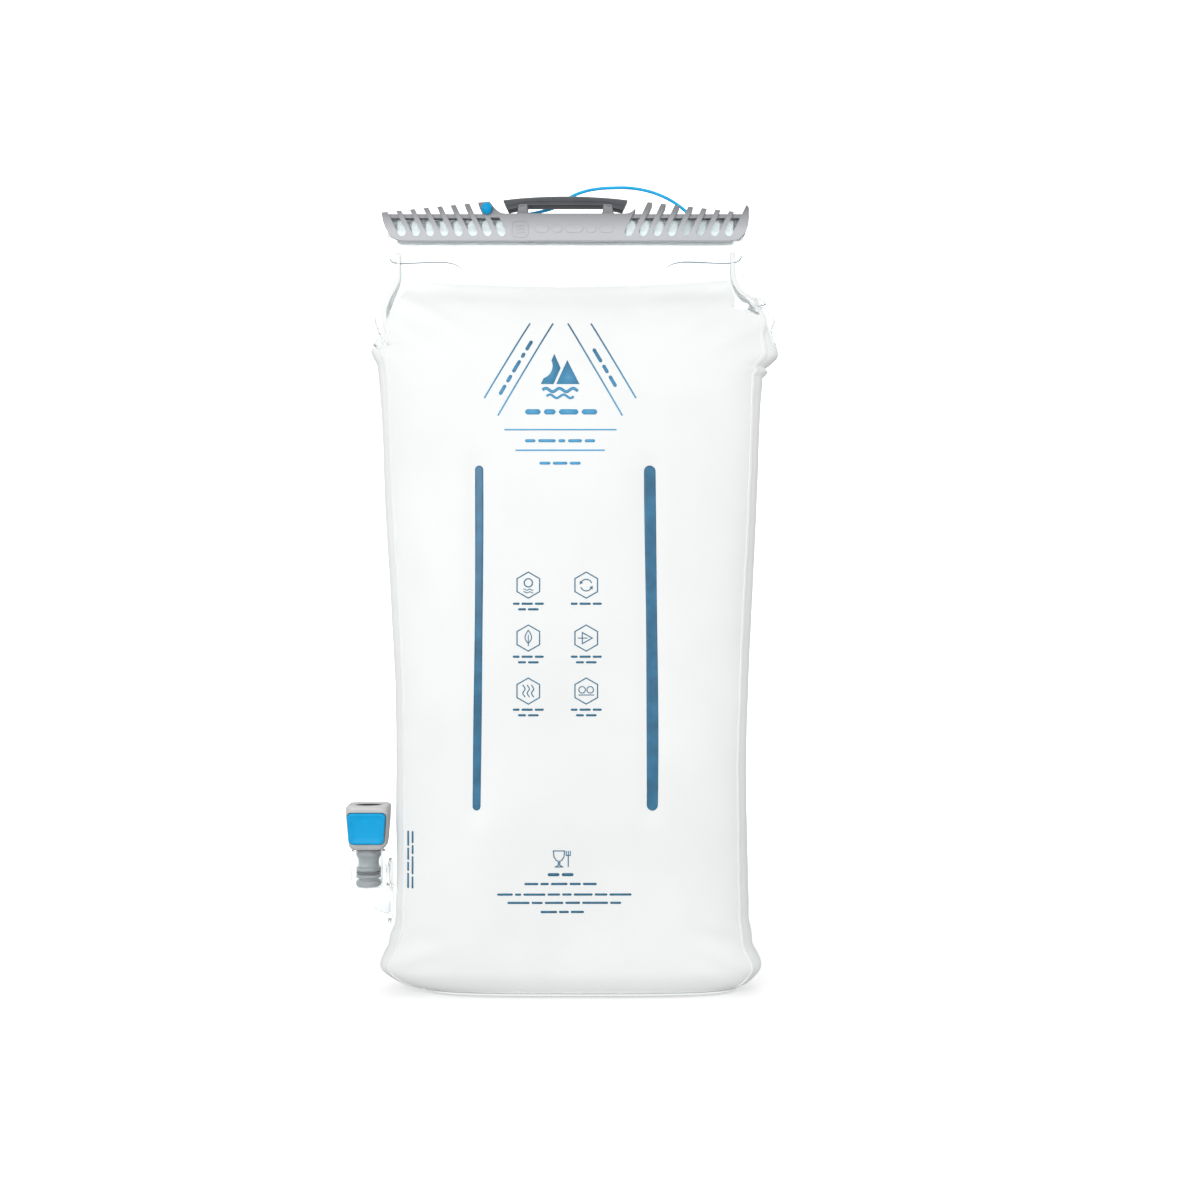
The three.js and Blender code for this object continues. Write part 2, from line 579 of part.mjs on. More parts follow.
function addLeash() {
  const points = [
    new THREE.Vector3(BALL_X, BALL_Y + BALL_RADIUS + GAP, BALL_HEIGHT),
    ...leashRoute.map(([x, y, rise]) => new THREE.Vector3(x, y, WEB_TOP + rise)),
  ];
  const curve = new THREE.CatmullRomCurve3(points, false, "centripetal");
  place("leash_cord", rod(curve, CORD_DIAMETER / 2, 44), blueCord);
  const ball = new THREE.SphereGeometry(BALL_RADIUS, 14, 10);
  place("leash_ball", ball.translate(BALL_X, BALL_Y, BALL_HEIGHT), bluePlastic);

  const cordEnd = points.at(-1);
  const ferruleTop = cordEnd.z - GAP;
  place(
    "leash_ferrule",
    disc(FERRULE_RADIUS, ferruleTop - FERRULE_LENGTH, ferruleTop, 16).translate(cordEnd.x, cordEnd.y, 0),
    bluePlastic,
  );

  // The tab is welded to the back panel under the clip, and stands up behind the clip's back.
  const outer = cordEnd.y - FERRULE_RADIUS - GAP;
  const inner = outer - LEASH_TAB_THICKNESS;
  const foot = CLIP_BOTTOM - LEASH_TAB_DROP;
  const footInner = bagAt(foot).deep + 2 * GAP;
  const tab = polygon([
    [footInner, foot],
    [footInner + LEASH_TAB_THICKNESS, foot],
    [outer, CLIP_BOTTOM - 1],
    [outer, cordEnd.z + 2],
    [inner, cordEnd.z + 2],
    [inner, CLIP_BOTTOM - 0.6],
    [MOUTH_HALF_DEPTH + 3 * GAP, CLIP_BOTTOM - 4],
  ]);
  const [left, right] = [cordEnd.x - LEASH_TAB_WIDTH / 2, cordEnd.x + LEASH_TAB_WIDTH / 2];
  place("leash_tab", lengthwise(tab, left, right), clearPlastic);
}

// ---- Port: an elbow welded over the hole in the left gusset ----
function gussetFace(z) {
  const { half, lean } = bagAt(z);
  return lean - half;
}
const couplingX = gussetFace(PORT_HEIGHT) - PORT_REACH;

function elbowPath(end) {
  const path = new THREE.CurvePath();
  const bendTop = new THREE.Vector3(couplingX, 0, PORT_HEIGHT + ELBOW_BEND);
  const bendSide = new THREE.Vector3(couplingX + ELBOW_BEND, 0, PORT_HEIGHT);
  const pull = 0.5523 * ELBOW_BEND; // makes a cubic curve follow a quarter circle
  path.add(new THREE.LineCurve3(new THREE.Vector3(couplingX, 0, ELBOW_TOP), bendTop));
  path.add(
    new THREE.CubicBezierCurve3(
      bendTop,
      bendTop.clone().add(new THREE.Vector3(0, 0, -pull)),
      bendSide.clone().add(new THREE.Vector3(-pull, 0, 0)),
      bendSide,
    ),
  );
  path.add(new THREE.LineCurve3(bendSide, new THREE.Vector3(end, 0, PORT_HEIGHT)));
  return path;
}

function addElbow() {
  const levels = bagRows.filter((z) => z >= FLANGE_BOTTOM && z < FLANGE_TOP);
  const plateFace = Math.min(...[...levels, FLANGE_TOP].map(gussetFace)) - GAP;
  const plateShape = new THREE.Shape();
  const plateMiddle = (FLANGE_BOTTOM + FLANGE_TOP) / 2;
  const plateHalfHeight = (FLANGE_TOP - FLANGE_BOTTOM) / 2;
  plateShape.absellipse(0, plateMiddle, FLANGE_WIDTH / 2, plateHalfHeight, 0, 2 * Math.PI);
  const plate = lengthwise(plateShape, plateFace - FLANGE_THICKNESS, plateFace);
  const rib = block(
    couplingX + ELBOW_RADIUS - 1,
    plateFace - 0.5,
    -RIB_HALF_THICKNESS,
    RIB_HALF_THICKNESS,
    PORT_HEIGHT + 4,
    FLANGE_TOP - 3,
  );
  const tube = rod(elbowPath(plateFace - 0.5), ELBOW_RADIUS, 16, 24);
  const bore = rod(elbowPath(plateFace + 5), PORT_RADIUS, 16, 20);
  const stemBore = disc(STEM_RADIUS + GAP, STEM_BOTTOM - GAP, ELBOW_TOP + 1).translate(couplingX, 0, 0);
  place("port_elbow", carve(tube, [bore, stemBore], [plate, rib]), clearPlastic);
}

// ---- Coupling: everything on the vertical axis at couplingX ----
const coupling = new THREE.Group();
coupling.position.x = couplingX;
bladder.add(coupling);

function addStem() {
  const floor = GROOVE_RADIUS;
  const ringRadius = STEM_RADIUS - 0.1;
  const profile = [
    [CHAMBER_RADIUS, STEM_BOTTOM],
    [STEM_RADIUS - 0.8, STEM_BOTTOM],
    [STEM_RADIUS, STEM_BOTTOM + 1],
    [STEM_RADIUS, STEM_BOTTOM + 3],
    [floor, STEM_BOTTOM + 3.3],
    [floor, STEM_BOTTOM + 4.2],
    [ringRadius, STEM_BOTTOM + 4.5],
    [ringRadius, STEM_BOTTOM + 6],
    [floor, STEM_BOTTOM + 6.2],
    [floor, STEM_BOTTOM + 7.8],
    [ringRadius, STEM_BOTTOM + 8],
    [ringRadius, STEM_BOTTOM + 9.7],
    [STEM_RADIUS - 1, STEM_BOTTOM + 10],
    [STEM_RADIUS - 1, HOUSING_BOTTOM - 5.6],
    [STEM_RADIUS, HOUSING_BOTTOM - 3.4],
    [STEM_RADIUS, HOUSING_BOTTOM - GAP],
    [NECK_RADIUS, HOUSING_BOTTOM - GAP],
    [NECK_RADIUS, STEM_TOP],
    [CHAMBER_RADIUS + 0.5, STEM_TOP],
    [SEAT_RADIUS, SEAT_HEIGHT + 1.6],
    [SEAT_RADIUS, SEAT_HEIGHT],
    [CHAMBER_RADIUS, SEAT_HEIGHT],
  ];
  place("coupling_stem", turned(profile, 20), stemPlastic, coupling);
  const seal = ring(GROOVE_RADIUS + RING_WIRE + 0.4, RING_WIRE);
  place("stem_oring", seal.translate(0, 0, STEM_BOTTOM + 7), sealRubber, coupling);
}

function roundedSquare(halfX, halfY, radius, z) {
  const points = [];
  for (const [sx, sy, start] of [[1, 1, 0], [-1, 1, 1], [-1, -1, 2], [1, -1, 3]]) {
    for (let i = 0; i <= 4; i++) {
      const angle = ((start + i / 4) * Math.PI) / 2;
      const x = sx * (halfX - radius) + radius * Math.cos(angle);
      points.push(new THREE.Vector3(x, sy * (halfY - radius) + radius * Math.sin(angle), z));
    }
  }
  return points;
}

// The button's outline in X and Z, grown by a margin.
function buttonOutline(margin) {
  const top = BUTTON_HALF_WIDTH + margin;
  const foot = top - BUTTON_TAPER;
  const [low, high] = [BUTTON_BOTTOM - margin, BUTTON_TOP + margin];
  const corner = BUTTON_CORNER;
  const shape = new THREE.Shape();
  shape.moveTo(-foot + corner, low);
  shape.lineTo(foot - corner, low);
  shape.quadraticCurveTo(foot, low, foot, low + corner);
  shape.lineTo(top, high - corner);
  shape.quadraticCurveTo(top, high, top - corner, high);
  shape.lineTo(-top + corner, high);
  shape.quadraticCurveTo(-top, high, -top, high - corner);
  shape.lineTo(-foot, low + corner);
  shape.quadraticCurveTo(-foot, low, -foot + corner, low);
  return shape;
}

function springPockets(y0, y1) {
  const pocket = (side) => circle(side * SPRING_X, SPRING_HEIGHT, SPRING_POCKET_RADIUS);
  return [-1, 1].map((side) => upright(pocket(side), y0, y1));
}

// The space for the latch plate and its clearance, as wide on each side of the axis as asked.
function latchSpace(half, y0, y1) {
  const reach = LATCH_THICKNESS / 2 + GAP;
  return block(-half, half, y0, y1, LATCH_HEIGHT - reach, LATCH_HEIGHT + reach);
}

function addHousing() {
  const half = BUTTON_HALF_WIDTH + HOUSING_CHEEK;
  const deep = POCKET_BACK + 3.3;
  const body = new LoftGeometry(
    [
      roundedSquare(half - 2.9, deep - 3, 3, HOUSING_BOTTOM),
      roundedSquare(half - 1.8, deep - 1.5, 3.2, HOUSING_BOTTOM + 1.5),
      roundedSquare(half, deep, 3.4, HOUSING_TOP - 1.5),
      roundedSquare(half - 0.9, deep - 0.9, 3, HOUSING_TOP),
    ],
    { capStart: true, capEnd: true },
  );
  const ledge = STEM_TOP + GAP;
  const grooveBottom = ledge + 2.6;
  const groove = { radius: SOCKET_RADIUS + 1.5, top: grooveBottom + 2.2 };
  const bore = turned([
    [0, HOUSING_BOTTOM - 1],
    [NECK_RADIUS + GAP, HOUSING_BOTTOM - 1],
    [NECK_RADIUS + GAP, ledge],
    [SOCKET_RADIUS, ledge],
    [SOCKET_RADIUS, grooveBottom],
    [groove.radius, grooveBottom],
    [groove.radius, groove.top],
    [SOCKET_RADIUS, groove.top],
    [SOCKET_RADIUS, HOUSING_TOP - 3.2],
    [SOCKET_MOUTH_RADIUS, HOUSING_TOP],
    [SOCKET_MOUTH_RADIUS, HOUSING_TOP + 1],
    [0, HOUSING_TOP + 1],
  ]);
  const ahead = -2 * deep; // clear of the housing's front
  const pocket = upright(buttonOutline(GAP), ahead, -POCKET_BACK);
  const slot = latchSpace(BUTTON_HALF_WIDTH - 0.7, -POCKET_BACK - 1, LATCH_REAR + BUTTON_TRAVEL + GAP);
  const springHoles = springPockets(ahead, SPRING_REAR);
  const shell = carve(body, [bore, pocket, slot, ...springHoles]);
  place("coupling_housing", shell, housingPlastic, coupling);
  const seal = ring(SOCKET_RADIUS + SOCKET_RING_WIRE - 0.1, SOCKET_RING_WIRE);
  seal.translate(0, 0, (grooveBottom + groove.top) / 2);
  place("socket_oring", seal, sealRubber, coupling);
}

function addButton() {
  const plate = upright(buttonOutline(0), BUTTON_FRONT, BUTTON_BACK);
  const latchGroove = latchSpace(BUTTON_HALF_WIDTH - 1, BUTTON_BACK - 1, 0);
  const cap = carve(plate, [latchGroove, ...springPockets(SPRING_FRONT, 0)]);
  place("release_button", cap, bluePlastic, coupling);

  const holeRadius = SOCKET_RADIUS + 0.4;
  const holeY = SOCKET_RADIUS - LATCH_BITE - holeRadius;
  const half = BUTTON_HALF_WIDTH - 1.6;
  const chamfer = 3;
  const front = BUTTON_BACK - 1 + GAP;
  const latch = polygon([
    [-half, front],
    [half, front],
    [half, LATCH_REAR - chamfer],
    [half - chamfer, LATCH_REAR],
    [chamfer - half, LATCH_REAR],
    [-half, LATCH_REAR - chamfer],
  ]);
  latch.holes.push(circle(0, holeY, holeRadius));
  const settings = { depth: LATCH_THICKNESS, bevelEnabled: false, curveSegments: 12 };
  const latchPlate = new THREE.ExtrudeGeometry(latch, settings);
  latchPlate.translate(0, 0, LATCH_HEIGHT - LATCH_THICKNESS / 2);
  place("latch_plate", latchPlate, springSteel, coupling);

  for (const [name, side] of [["button_spring_left", -1], ["button_spring_right", 1]]) {
    const room = GAP + 0.3; // at each end of the spring
    const length = SPRING_REAR - SPRING_FRONT - 2 * room;
    const coil = rod(new Coil(SPRING_POCKET_RADIUS - 0.65, length, 3.5), 0.25, 32, 4);
    coil.rotateX(-Math.PI / 2).translate(side * SPRING_X, SPRING_FRONT + room, SPRING_HEIGHT);
    place(name, coil, springSteel, coupling);
  }
}

const POPPET_TOP = SEAT_HEIGHT - 1.8;

function addValve() {
  const discRadius = CHAMBER_RADIUS - 2 * GAP;
  const discBottom = POPPET_TOP - 1.5;
  const pinRadius = SEAT_RADIUS / 2;
  const pinTop = STEM_TOP + VALVE_PIN_REACH;
  const poppet = turned(
    [
      [0, POPPET_TOP - 4.2],
      [1.6, POPPET_TOP - 4.2],
      [1.6, discBottom],
      [discRadius, discBottom],
      [discRadius, POPPET_TOP],
      [pinRadius, POPPET_TOP],
      [pinRadius, pinTop - 0.5],
      [pinRadius - 0.5, pinTop],
      [0, pinTop],
    ],
    16,
  );
  place("valve_poppet", poppet, bluePlastic, coupling);
  const seal = ring(discRadius - RING_WIRE, RING_WIRE, 20);
  place("poppet_seal", seal.translate(0, 0, SEAT_HEIGHT - 0.9), sealRubber, coupling);

  const [low, high] = [STEM_BOTTOM + 0.6, STEM_BOTTOM + 2];
  const inner = CHAMBER_RADIUS - 1.4;
  const outer = CHAMBER_RADIUS - GAP;
  const rim = turned([[inner, low], [outer, low], [outer, high], [inner, high]], 20);
  const bars = [
    block(-inner - 0.4, inner + 0.4, -0.5, 0.5, low + 0.2, high - 0.2),
    block(-0.5, 0.5, -inner - 0.4, inner + 0.4, low + 0.2, high - 0.2),
  ];
  place("valve_retainer", carve(rim, [], bars), stemPlastic, coupling);

  const springBottom = high + 2 * GAP;
  const springLength = discBottom - 3 * GAP - springBottom;
  const coil = rod(new Coil(CHAMBER_RADIUS - 1.15, springLength, 6), 0.3, 60, 4);
  place("valve_spring", coil.translate(0, 0, springBottom), springSteel, coupling);
}

addBag();
addBaffle("baffle_left", -1);
addBaffle("baffle_right", 1);
addRail("mouth_rail_front", -1);
addRail("mouth_rail_back", 1);
addClip();
addHandle();
addLeash();
addElbow();
addStem();
addHousing();
addButton();
addValve();

export default bladder;
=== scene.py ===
"""A hydration bladder of translucent film, with its slide clip, handle, leash and hose coupling."""

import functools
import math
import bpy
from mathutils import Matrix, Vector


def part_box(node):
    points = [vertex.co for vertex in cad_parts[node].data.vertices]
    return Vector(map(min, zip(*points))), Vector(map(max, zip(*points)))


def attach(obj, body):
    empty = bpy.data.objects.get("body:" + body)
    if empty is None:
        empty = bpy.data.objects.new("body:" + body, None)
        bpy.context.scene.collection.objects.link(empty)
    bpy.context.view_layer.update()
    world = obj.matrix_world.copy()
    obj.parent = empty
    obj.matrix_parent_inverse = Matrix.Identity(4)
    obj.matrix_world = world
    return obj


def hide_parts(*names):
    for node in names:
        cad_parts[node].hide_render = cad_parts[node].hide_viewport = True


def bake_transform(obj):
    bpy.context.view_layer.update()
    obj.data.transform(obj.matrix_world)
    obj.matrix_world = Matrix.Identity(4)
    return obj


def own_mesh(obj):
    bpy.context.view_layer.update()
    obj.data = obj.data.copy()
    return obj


bl_info = {
    "name": "Hydration Bladder",
    "version": (1, 0, 0),
    "blender": (4, 5, 0),
    "location": "3D View > Sidebar > Bladder",
    "description": "Builds the visible pieces of a hydration bladder round its engineering model",
    "category": "Add Mesh",
}

import bmesh
import bpy
from bpy.props import FloatProperty, FloatVectorProperty, IntProperty, PointerProperty
from mathutils import Matrix, Vector, geometry, noise
from mathutils.bvhtree import BVHTree

MM = 0.001

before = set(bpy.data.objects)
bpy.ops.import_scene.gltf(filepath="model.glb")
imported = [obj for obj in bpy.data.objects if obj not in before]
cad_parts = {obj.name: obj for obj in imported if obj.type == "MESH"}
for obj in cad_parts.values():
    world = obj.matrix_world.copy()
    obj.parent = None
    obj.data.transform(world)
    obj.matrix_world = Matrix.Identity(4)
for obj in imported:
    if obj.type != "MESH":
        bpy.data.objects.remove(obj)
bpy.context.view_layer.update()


def node_box(node):
    """Lowest and highest corner of a node of the frame, in millimetres."""
    low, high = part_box(node)
    return low / MM, high / MM


CLIP_LOW = node_box("slide_clip")[0]
ELBOW_HIGH = node_box("port_elbow")[1]
STEM_LOW, STEM_HIGH = node_box("coupling_stem")
HOUSING_LOW, HOUSING_HIGH = node_box("coupling_housing")
BUTTON_LOW, BUTTON_HIGH = node_box("release_button")
FERRULE_LOW, FERRULE_HIGH = node_box("leash_ferrule")
BALL_LOW, BALL_HIGH = node_box("leash_ball")
POPPET_LOW, POPPET_HIGH = node_box("valve_poppet")
BUTTON_HALF = (BUTTON_HIGH.x - BUTTON_LOW.x) / 2
BUTTON_TAPER = 0.8
COUPLING_X = (STEM_LOW.x + STEM_HIGH.x) / 2
CLIP_WEB_TOP = 385.6
WEB_BOTTOM = 383.6
MOUTH_TOP = node_box("front_panel")[1].z

# The filled bag: height, left side, right side, half depth and squareness of level sections.
BAG_STATIONS = (
    (0.8, -64, 81, 22.5, 3.4),
    (5, -83, 92, 26.5, 3.4),
    (12.7, -91.8, 97.3, 29.6, 3.4),
    (25, -87.3, 93.3, 30.4, 3.3),
    (34, -84.5, 91.8, 30.4, 3.3),
    (69, -83.8, 90.8, 30, 3.3),
    (104, -84.2, 90.4, 30, 3.3),
    (144, -84.7, 91.3, 30, 3.3),
    (194, -86.5, 93.3, 29.6, 3.3),
    (244, -90, 95.8, 28.6, 3.3),
    (294, -92.3, 97.4, 26, 3.2),
    (318, -93.2, 98.4, 22, 3.1),
    (338, -91.4, 96.6, 14.5, 3),
    (350, -88.8, 90.2, 7, 3.4),
    (358, -88.5, 88.5, 3.6, 7),
    (366, -88.5, 88.5, 2.8, 12),
    (384, -88.5, 88.5, 2.8, 12),
)
# How far the folds at the shoulders stand out from each side: height and distance.
LEFT_FOLDS = ((298, 0), (311, 0.8), (318.6, 4.4), (320.4, -4.6), (326, 0.6), (338, 4.2), (347, 2.4), (354, 0))
RIGHT_FOLDS = (
    (296, 0), (304, 0.4), (307.6, -3.6), (310, 2.5), (314.7, 7.4), (325, 5.8), (335, 6.6), (339.6, 4.8),
    (341.4, -7.5), (346, -1.2), (354, 0),
)
FOLD_REACH = 34  # from the middle of a gusset to where its folds have died out on the panels
SEAM_INSET = 5
FROST_TOP = 354.0
FROST_DIP = 4.6
NECK_TOP = 368
WELD_X = 42
WELD_LOW = 91.7
WELD_HIGH = 259
HEEL_TOP = 40
SHOULDER_LOW = 290
SOLE_MIDDLE = 8
PRINT_X = -2.1  # middle of the emblem and the rules
NOTE_X = -1.8  # middle of the upper notes
FILM_STEP = 1.15  # between rows of points at the shoulders
INK_LIFT = 0.06
INK_THICKNESS = 0.05
MARK_HEIGHT = 0.4
MARK_X = -22.5  # middle of the clip's badge


# ---------------------------------------------------------------------------------------------
# Settings
# ---------------------------------------------------------------------------------------------


def length(name, description, millimetres):
    return FloatProperty(
        name=name, description=description, default=millimetres * MM, min=0, unit="LENGTH", precision=4
    )


def colour(name, description, default):
    return FloatVectorProperty(
        name=name, description=description, default=default, subtype="COLOR", min=0, max=1, size=3
    )


class BladderSettings(bpy.types.PropertyGroup):
    """Sizes and colours that can be changed without changing what fits together."""

    film_thickness: length("Film thickness", "Thickness of the bag's film", 0.5)
    pucker: length("Seam pucker", "Height of the small waves along the seams", 0.22)
    slack: length("Slack", "Height of the broad waves in the film", 1.0)
    columns: IntProperty(name="Columns", description="Faces across a front or back panel", default=84, min=12)
    film_colour: colour("Film", "Frosted film", (0.9, 0.92, 0.915))
    clear_colour: colour("Clear", "Clear film and mouldings", (0.93, 0.96, 0.965))
    weld_colour: colour("Weld strips", "Teal weld strips of the baffle", (0.03, 0.15, 0.27))
    ink_dark: colour("Dark ink", "Upper end of the printed colours", (0.045, 0.15, 0.26))
    ink_light: colour("Light ink", "Lower end of the printed colours", (0.1, 0.4, 0.68))
    clip_colour: colour("Clip", "Slide clip", (0.47, 0.48, 0.5))
    handle_colour: colour("Handle", "Carry handle", (0.085, 0.09, 0.1))
    blue_colour: colour("Blue mouldings", "Button, ball and ferrule", (0.008, 0.36, 0.7))
    cord_colour: colour("Leash", "Leash cord", (0.008, 0.46, 0.86))
    housing_colour: colour("Housing", "Coupling housing", (0.56, 0.555, 0.55))
    stem_colour: colour("Stem", "Coupling stem", (0.19, 0.2, 0.21))
    rubber_colour: colour("Seals", "Sealing rings", (0.03, 0.032, 0.036))
    steel_colour: colour("Steel", "Springs and latch", (0.62, 0.63, 0.65))


def settings():
    return bpy.context.scene.bladder_settings


# ---------------------------------------------------------------------------------------------
# Finishes
# ---------------------------------------------------------------------------------------------


def noise_node(nodes, links, scale, detail=2.0, stretch=(1, 1, 1)):
    coordinates = nodes.new("ShaderNodeTexCoord")
    mapping = nodes.new("ShaderNodeMapping")
    mapping.inputs["Scale"].default_value = stretch
    texture = nodes.new("ShaderNodeTexNoise")
    texture.inputs["Scale"].default_value = scale
    texture.inputs["Detail"].default_value = detail
    links.new(coordinates.outputs["Object"], mapping.inputs["Vector"])
    links.new(mapping.outputs["Vector"], texture.inputs["Vector"])
    return texture.outputs["Fac"]


def ramp(nodes, links, value, low, high, start=0.35, end=0.65):
    """A colour ramp between two colours, driven by a value."""
    blend = nodes.new("ShaderNodeValToRGB")
    first, last = blend.color_ramp.elements
    first.position, last.position = start, end
    first.color, last.color = (*low, 1), (*high, 1)
    links.new(value, blend.inputs["Fac"])
    return blend.outputs["Color"]


def spread(nodes, links, value, low, high):
    """A value from 0 to 1, spread between two limits."""
    span = nodes.new("ShaderNodeMapRange")
    span.inputs["To Min"].default_value = low
    span.inputs["To Max"].default_value = high
    links.new(value, span.inputs["Value"])
    return span.outputs["Result"]


def shade(colour_in, factor):
    return tuple(min(1, channel * factor) for channel in colour_in)


def finish(
    name,
    base,
    roughness=(0.35, 0.45),
    variation=0.06,
    mottle=60,
    grain=2600,
    grain_height=0.02,
    wave=0,
    wave_height=0.0,
    **sockets,
):
    """A moulded or extruded finish: mottled colour, uneven roughness, and a fine grain over a soft wave."""
    own_name = f"{name}_finish"  # the frame brings plain materials under the bare names
    material = bpy.data.materials.get(own_name)
    if material:
        return material
    material = bpy.data.materials.new(own_name)
    material.use_nodes = True
    nodes, links = material.node_tree.nodes, material.node_tree.links
    shader = nodes["Principled BSDF"]
    mottling = noise_node(nodes, links, mottle)
    tinted = ramp(nodes, links, mottling, shade(base, 1 - variation), shade(base, 1 + variation))
    links.new(tinted, shader.inputs["Base Color"])
    grit = noise_node(nodes, links, grain, 3)
    links.new(spread(nodes, links, noise_node(nodes, links, mottle * 4), *roughness),
              shader.inputs["Roughness"])
    bump = nodes.new("ShaderNodeBump")
    bump.inputs["Strength"].default_value = 0.5
    bump.inputs["Distance"].default_value = grain_height * MM
    links.new(grit, bump.inputs["Height"])
    if wave:
        swell = nodes.new("ShaderNodeBump")
        swell.inputs["Strength"].default_value = 0.6
        swell.inputs["Distance"].default_value = wave_height * MM
        links.new(noise_node(nodes, links, wave, 1), swell.inputs["Height"])
        links.new(swell.outputs["Normal"], bump.inputs["Normal"])
    links.new(bump.outputs["Normal"], shader.inputs["Normal"])
    sockets.setdefault("specular_ior_level", 0.3)
    for socket, value in sockets.items():
        shader.inputs[socket.replace("_", " ").title().replace("Ior", "IOR")].default_value = value
    return material


# Colour, or the setting that holds it, and the rest of each finish.
FINISHES = {
    "frosted_film": ("film_colour", dict(
        roughness=(0.34, 0.5), variation=0.018, mottle=18, grain=1900, grain_height=0.03, wave=45,
        wave_height=0.5, subsurface_weight=0.06, subsurface_radius=(0.004, 0.0042, 0.004),
        subsurface_scale=1.0, transmission_weight=0.02, ior=1.22, coat_weight=0.12, coat_roughness=0.3)),
    "clear_film": ("clear_colour", dict(
        roughness=(0.08, 0.16), variation=0.01, mottle=25, grain=900, grain_height=0.006, wave=60,
        wave_height=0.3, transmission_weight=0.82, ior=1.18, specular_ior_level=0.5)),
    "clear_moulding": ("clear_colour", dict(
        roughness=(0.05, 0.11), variation=0.01, mottle=40, grain=700, grain_height=0.004, wave=130,
        wave_height=0.06, transmission_weight=0.94, ior=1.14, specular_ior_level=0.5)),
    "weld_film": ("weld_colour", dict(
        roughness=(0.3, 0.44), variation=0.16, mottle=110, grain=1500, grain_height=0.05, wave=260,
        wave_height=0.12, coat_weight=0.2, coat_roughness=0.2)),
    "handle_plastic": ("handle_colour", dict(
        roughness=(0.36, 0.48), variation=0.07, mottle=90, grain=2600, grain_height=0.03,
        specular_ior_level=0.22)),
    "blue_plastic": ("blue_colour", dict(
        roughness=(0.3, 0.4), variation=0.05, mottle=140, grain=3600, grain_height=0.025,
        specular_ior_level=0.12, subsurface_weight=0.08, subsurface_radius=(0.0005, 0.0008, 0.0015),
        subsurface_scale=1.0)),
    "cord_plastic": ("cord_colour", dict(
        roughness=(0.3, 0.42), variation=0.08, mottle=220, grain=2400, grain_height=0.03,
        subsurface_weight=0.12, subsurface_radius=(0.0004, 0.0008, 0.0014), subsurface_scale=1.0)),
    "housing_plastic": ("housing_colour", dict(
        roughness=(0.28, 0.38), variation=0.04, mottle=120, grain=3000, grain_height=0.02,
        coat_weight=0.2, coat_roughness=0.2)),
    # Near black: painted shade inside the coupling's socket.
    "socket_liner": ((0.05, 0.053, 0.06), dict(
        roughness=(0.5, 0.6), mottle=200, grain=2800, grain_height=0.02)),
    "stem_plastic": ("stem_colour", dict(
        roughness=(0.24, 0.34), variation=0.06, mottle=160, grain=2800, grain_height=0.02,
        specular_ior_level=0.3)),
    "seal_rubber": ("rubber_colour", dict(
        roughness=(0.55, 0.7), variation=0.2, mottle=300, grain=4200, grain_height=0.03)),
    "spring_steel": ("steel_colour", dict(
        roughness=(0.18, 0.3), variation=0.05, mottle=400, grain=5200, grain_height=0.01, metallic=1.0)),
    "note_ink": ((0.045, 0.17, 0.28), dict(roughness=(0.4, 0.5), grain=3000, grain_height=0.01)),
    "weld_line": ((0.36, 0.4, 0.42), dict(roughness=(0.15, 0.25), transmission_weight=0.4, ior=1.3)),
}


def named_finish(name):
    """One of the plain finishes of the table above."""
    base, options = FINISHES[name]
    return finish(name, getattr(settings(), base) if isinstance(base, str) else base, **options)


def bag_film():
    """Frosted film that runs out into clear film where its "frost" value falls to nothing."""
    name = "bag_film"
    if name in bpy.data.materials:
        return bpy.data.materials[name]
    material = named_finish("frosted_film").copy()
    material.name = name
    nodes, links = material.node_tree.nodes, material.node_tree.links
    shader = nodes["Principled BSDF"]
    frost = nodes.new("ShaderNodeAttribute")
    frost.attribute_name = "frost"
    for socket, clear, frosted in (("Transmission Weight", 0.8, 0.02), ("Subsurface Weight", 0, 0.06)):
        links.new(spread(nodes, links, frost.outputs["Fac"], clear, frosted), shader.inputs[socket])
    rough = nodes.new("ShaderNodeMix")
    rough.inputs["A"].default_value = 0.12
    links.new(frost.outputs["Fac"], rough.inputs["Factor"])
    links.new(shader.inputs["Roughness"].links[0].from_socket, rough.inputs["B"])
    links.new(rough.outputs["Result"], shader.inputs["Roughness"])
    tint = nodes.new("ShaderNodeMix")
    tint.data_type = "RGBA"
    tint.inputs["A"].default_value = (*settings().clear_colour, 1)
    links.new(frost.outputs["Fac"], tint.inputs["Factor"])
    links.new(shader.inputs["Base Color"].links[0].from_socket, tint.inputs["B"])
    links.new(tint.outputs["Result"], shader.inputs["Base Color"])
    return material


def graded(name, low, high, first, last, **others):
    """A finish whose colour runs from one at the height low to another at the height high."""
    made = bpy.data.materials.get(f"{name}_finish")
    if made:
        return made
    material = finish(name, first, **others)
    nodes, links = material.node_tree.nodes, material.node_tree.links
    place = nodes.new("ShaderNodeNewGeometry")
    axes = nodes.new("ShaderNodeSeparateXYZ")
    fade = nodes.new("ShaderNodeMapRange")
    fade.inputs["From Min"].default_value = low * MM
    fade.inputs["From Max"].default_value = high * MM
    links.new(place.outputs["Position"], axes.inputs["Vector"])
    links.new(axes.outputs["Z"], fade.inputs["Value"])
    shaded = ramp(nodes, links, fade.outputs["Result"], first, last, 0, 1)
    links.new(shaded, nodes["Principled BSDF"].inputs["Base Color"])
    return material


def clip_plastic():
    # Painted light and shade: the colour runs from 1.1 times the clip colour at 377 mm, a painted highlight
    # on the lower front, to 0.45 times at 388 mm, painted shade on the upper front and fins.
    return graded(
        "clip_plastic",
        377,
        388,
        shade(settings().clip_colour, 1.1),
        shade(settings().clip_colour, 0.45),
        roughness=(0.36, 0.5),
        mottle=90,
        grain=3200,
        grain_height=0.035,
        wave=150,
        wave_height=0.05,
    )


def print_ink():
    """Ink that runs from light to dark up the bag's print."""
    inks = settings().ink_light, settings().ink_dark
    return graded("print_ink", 282, 325, *inks, roughness=(0.35, 0.5), grain=3000, grain_height=0.01)


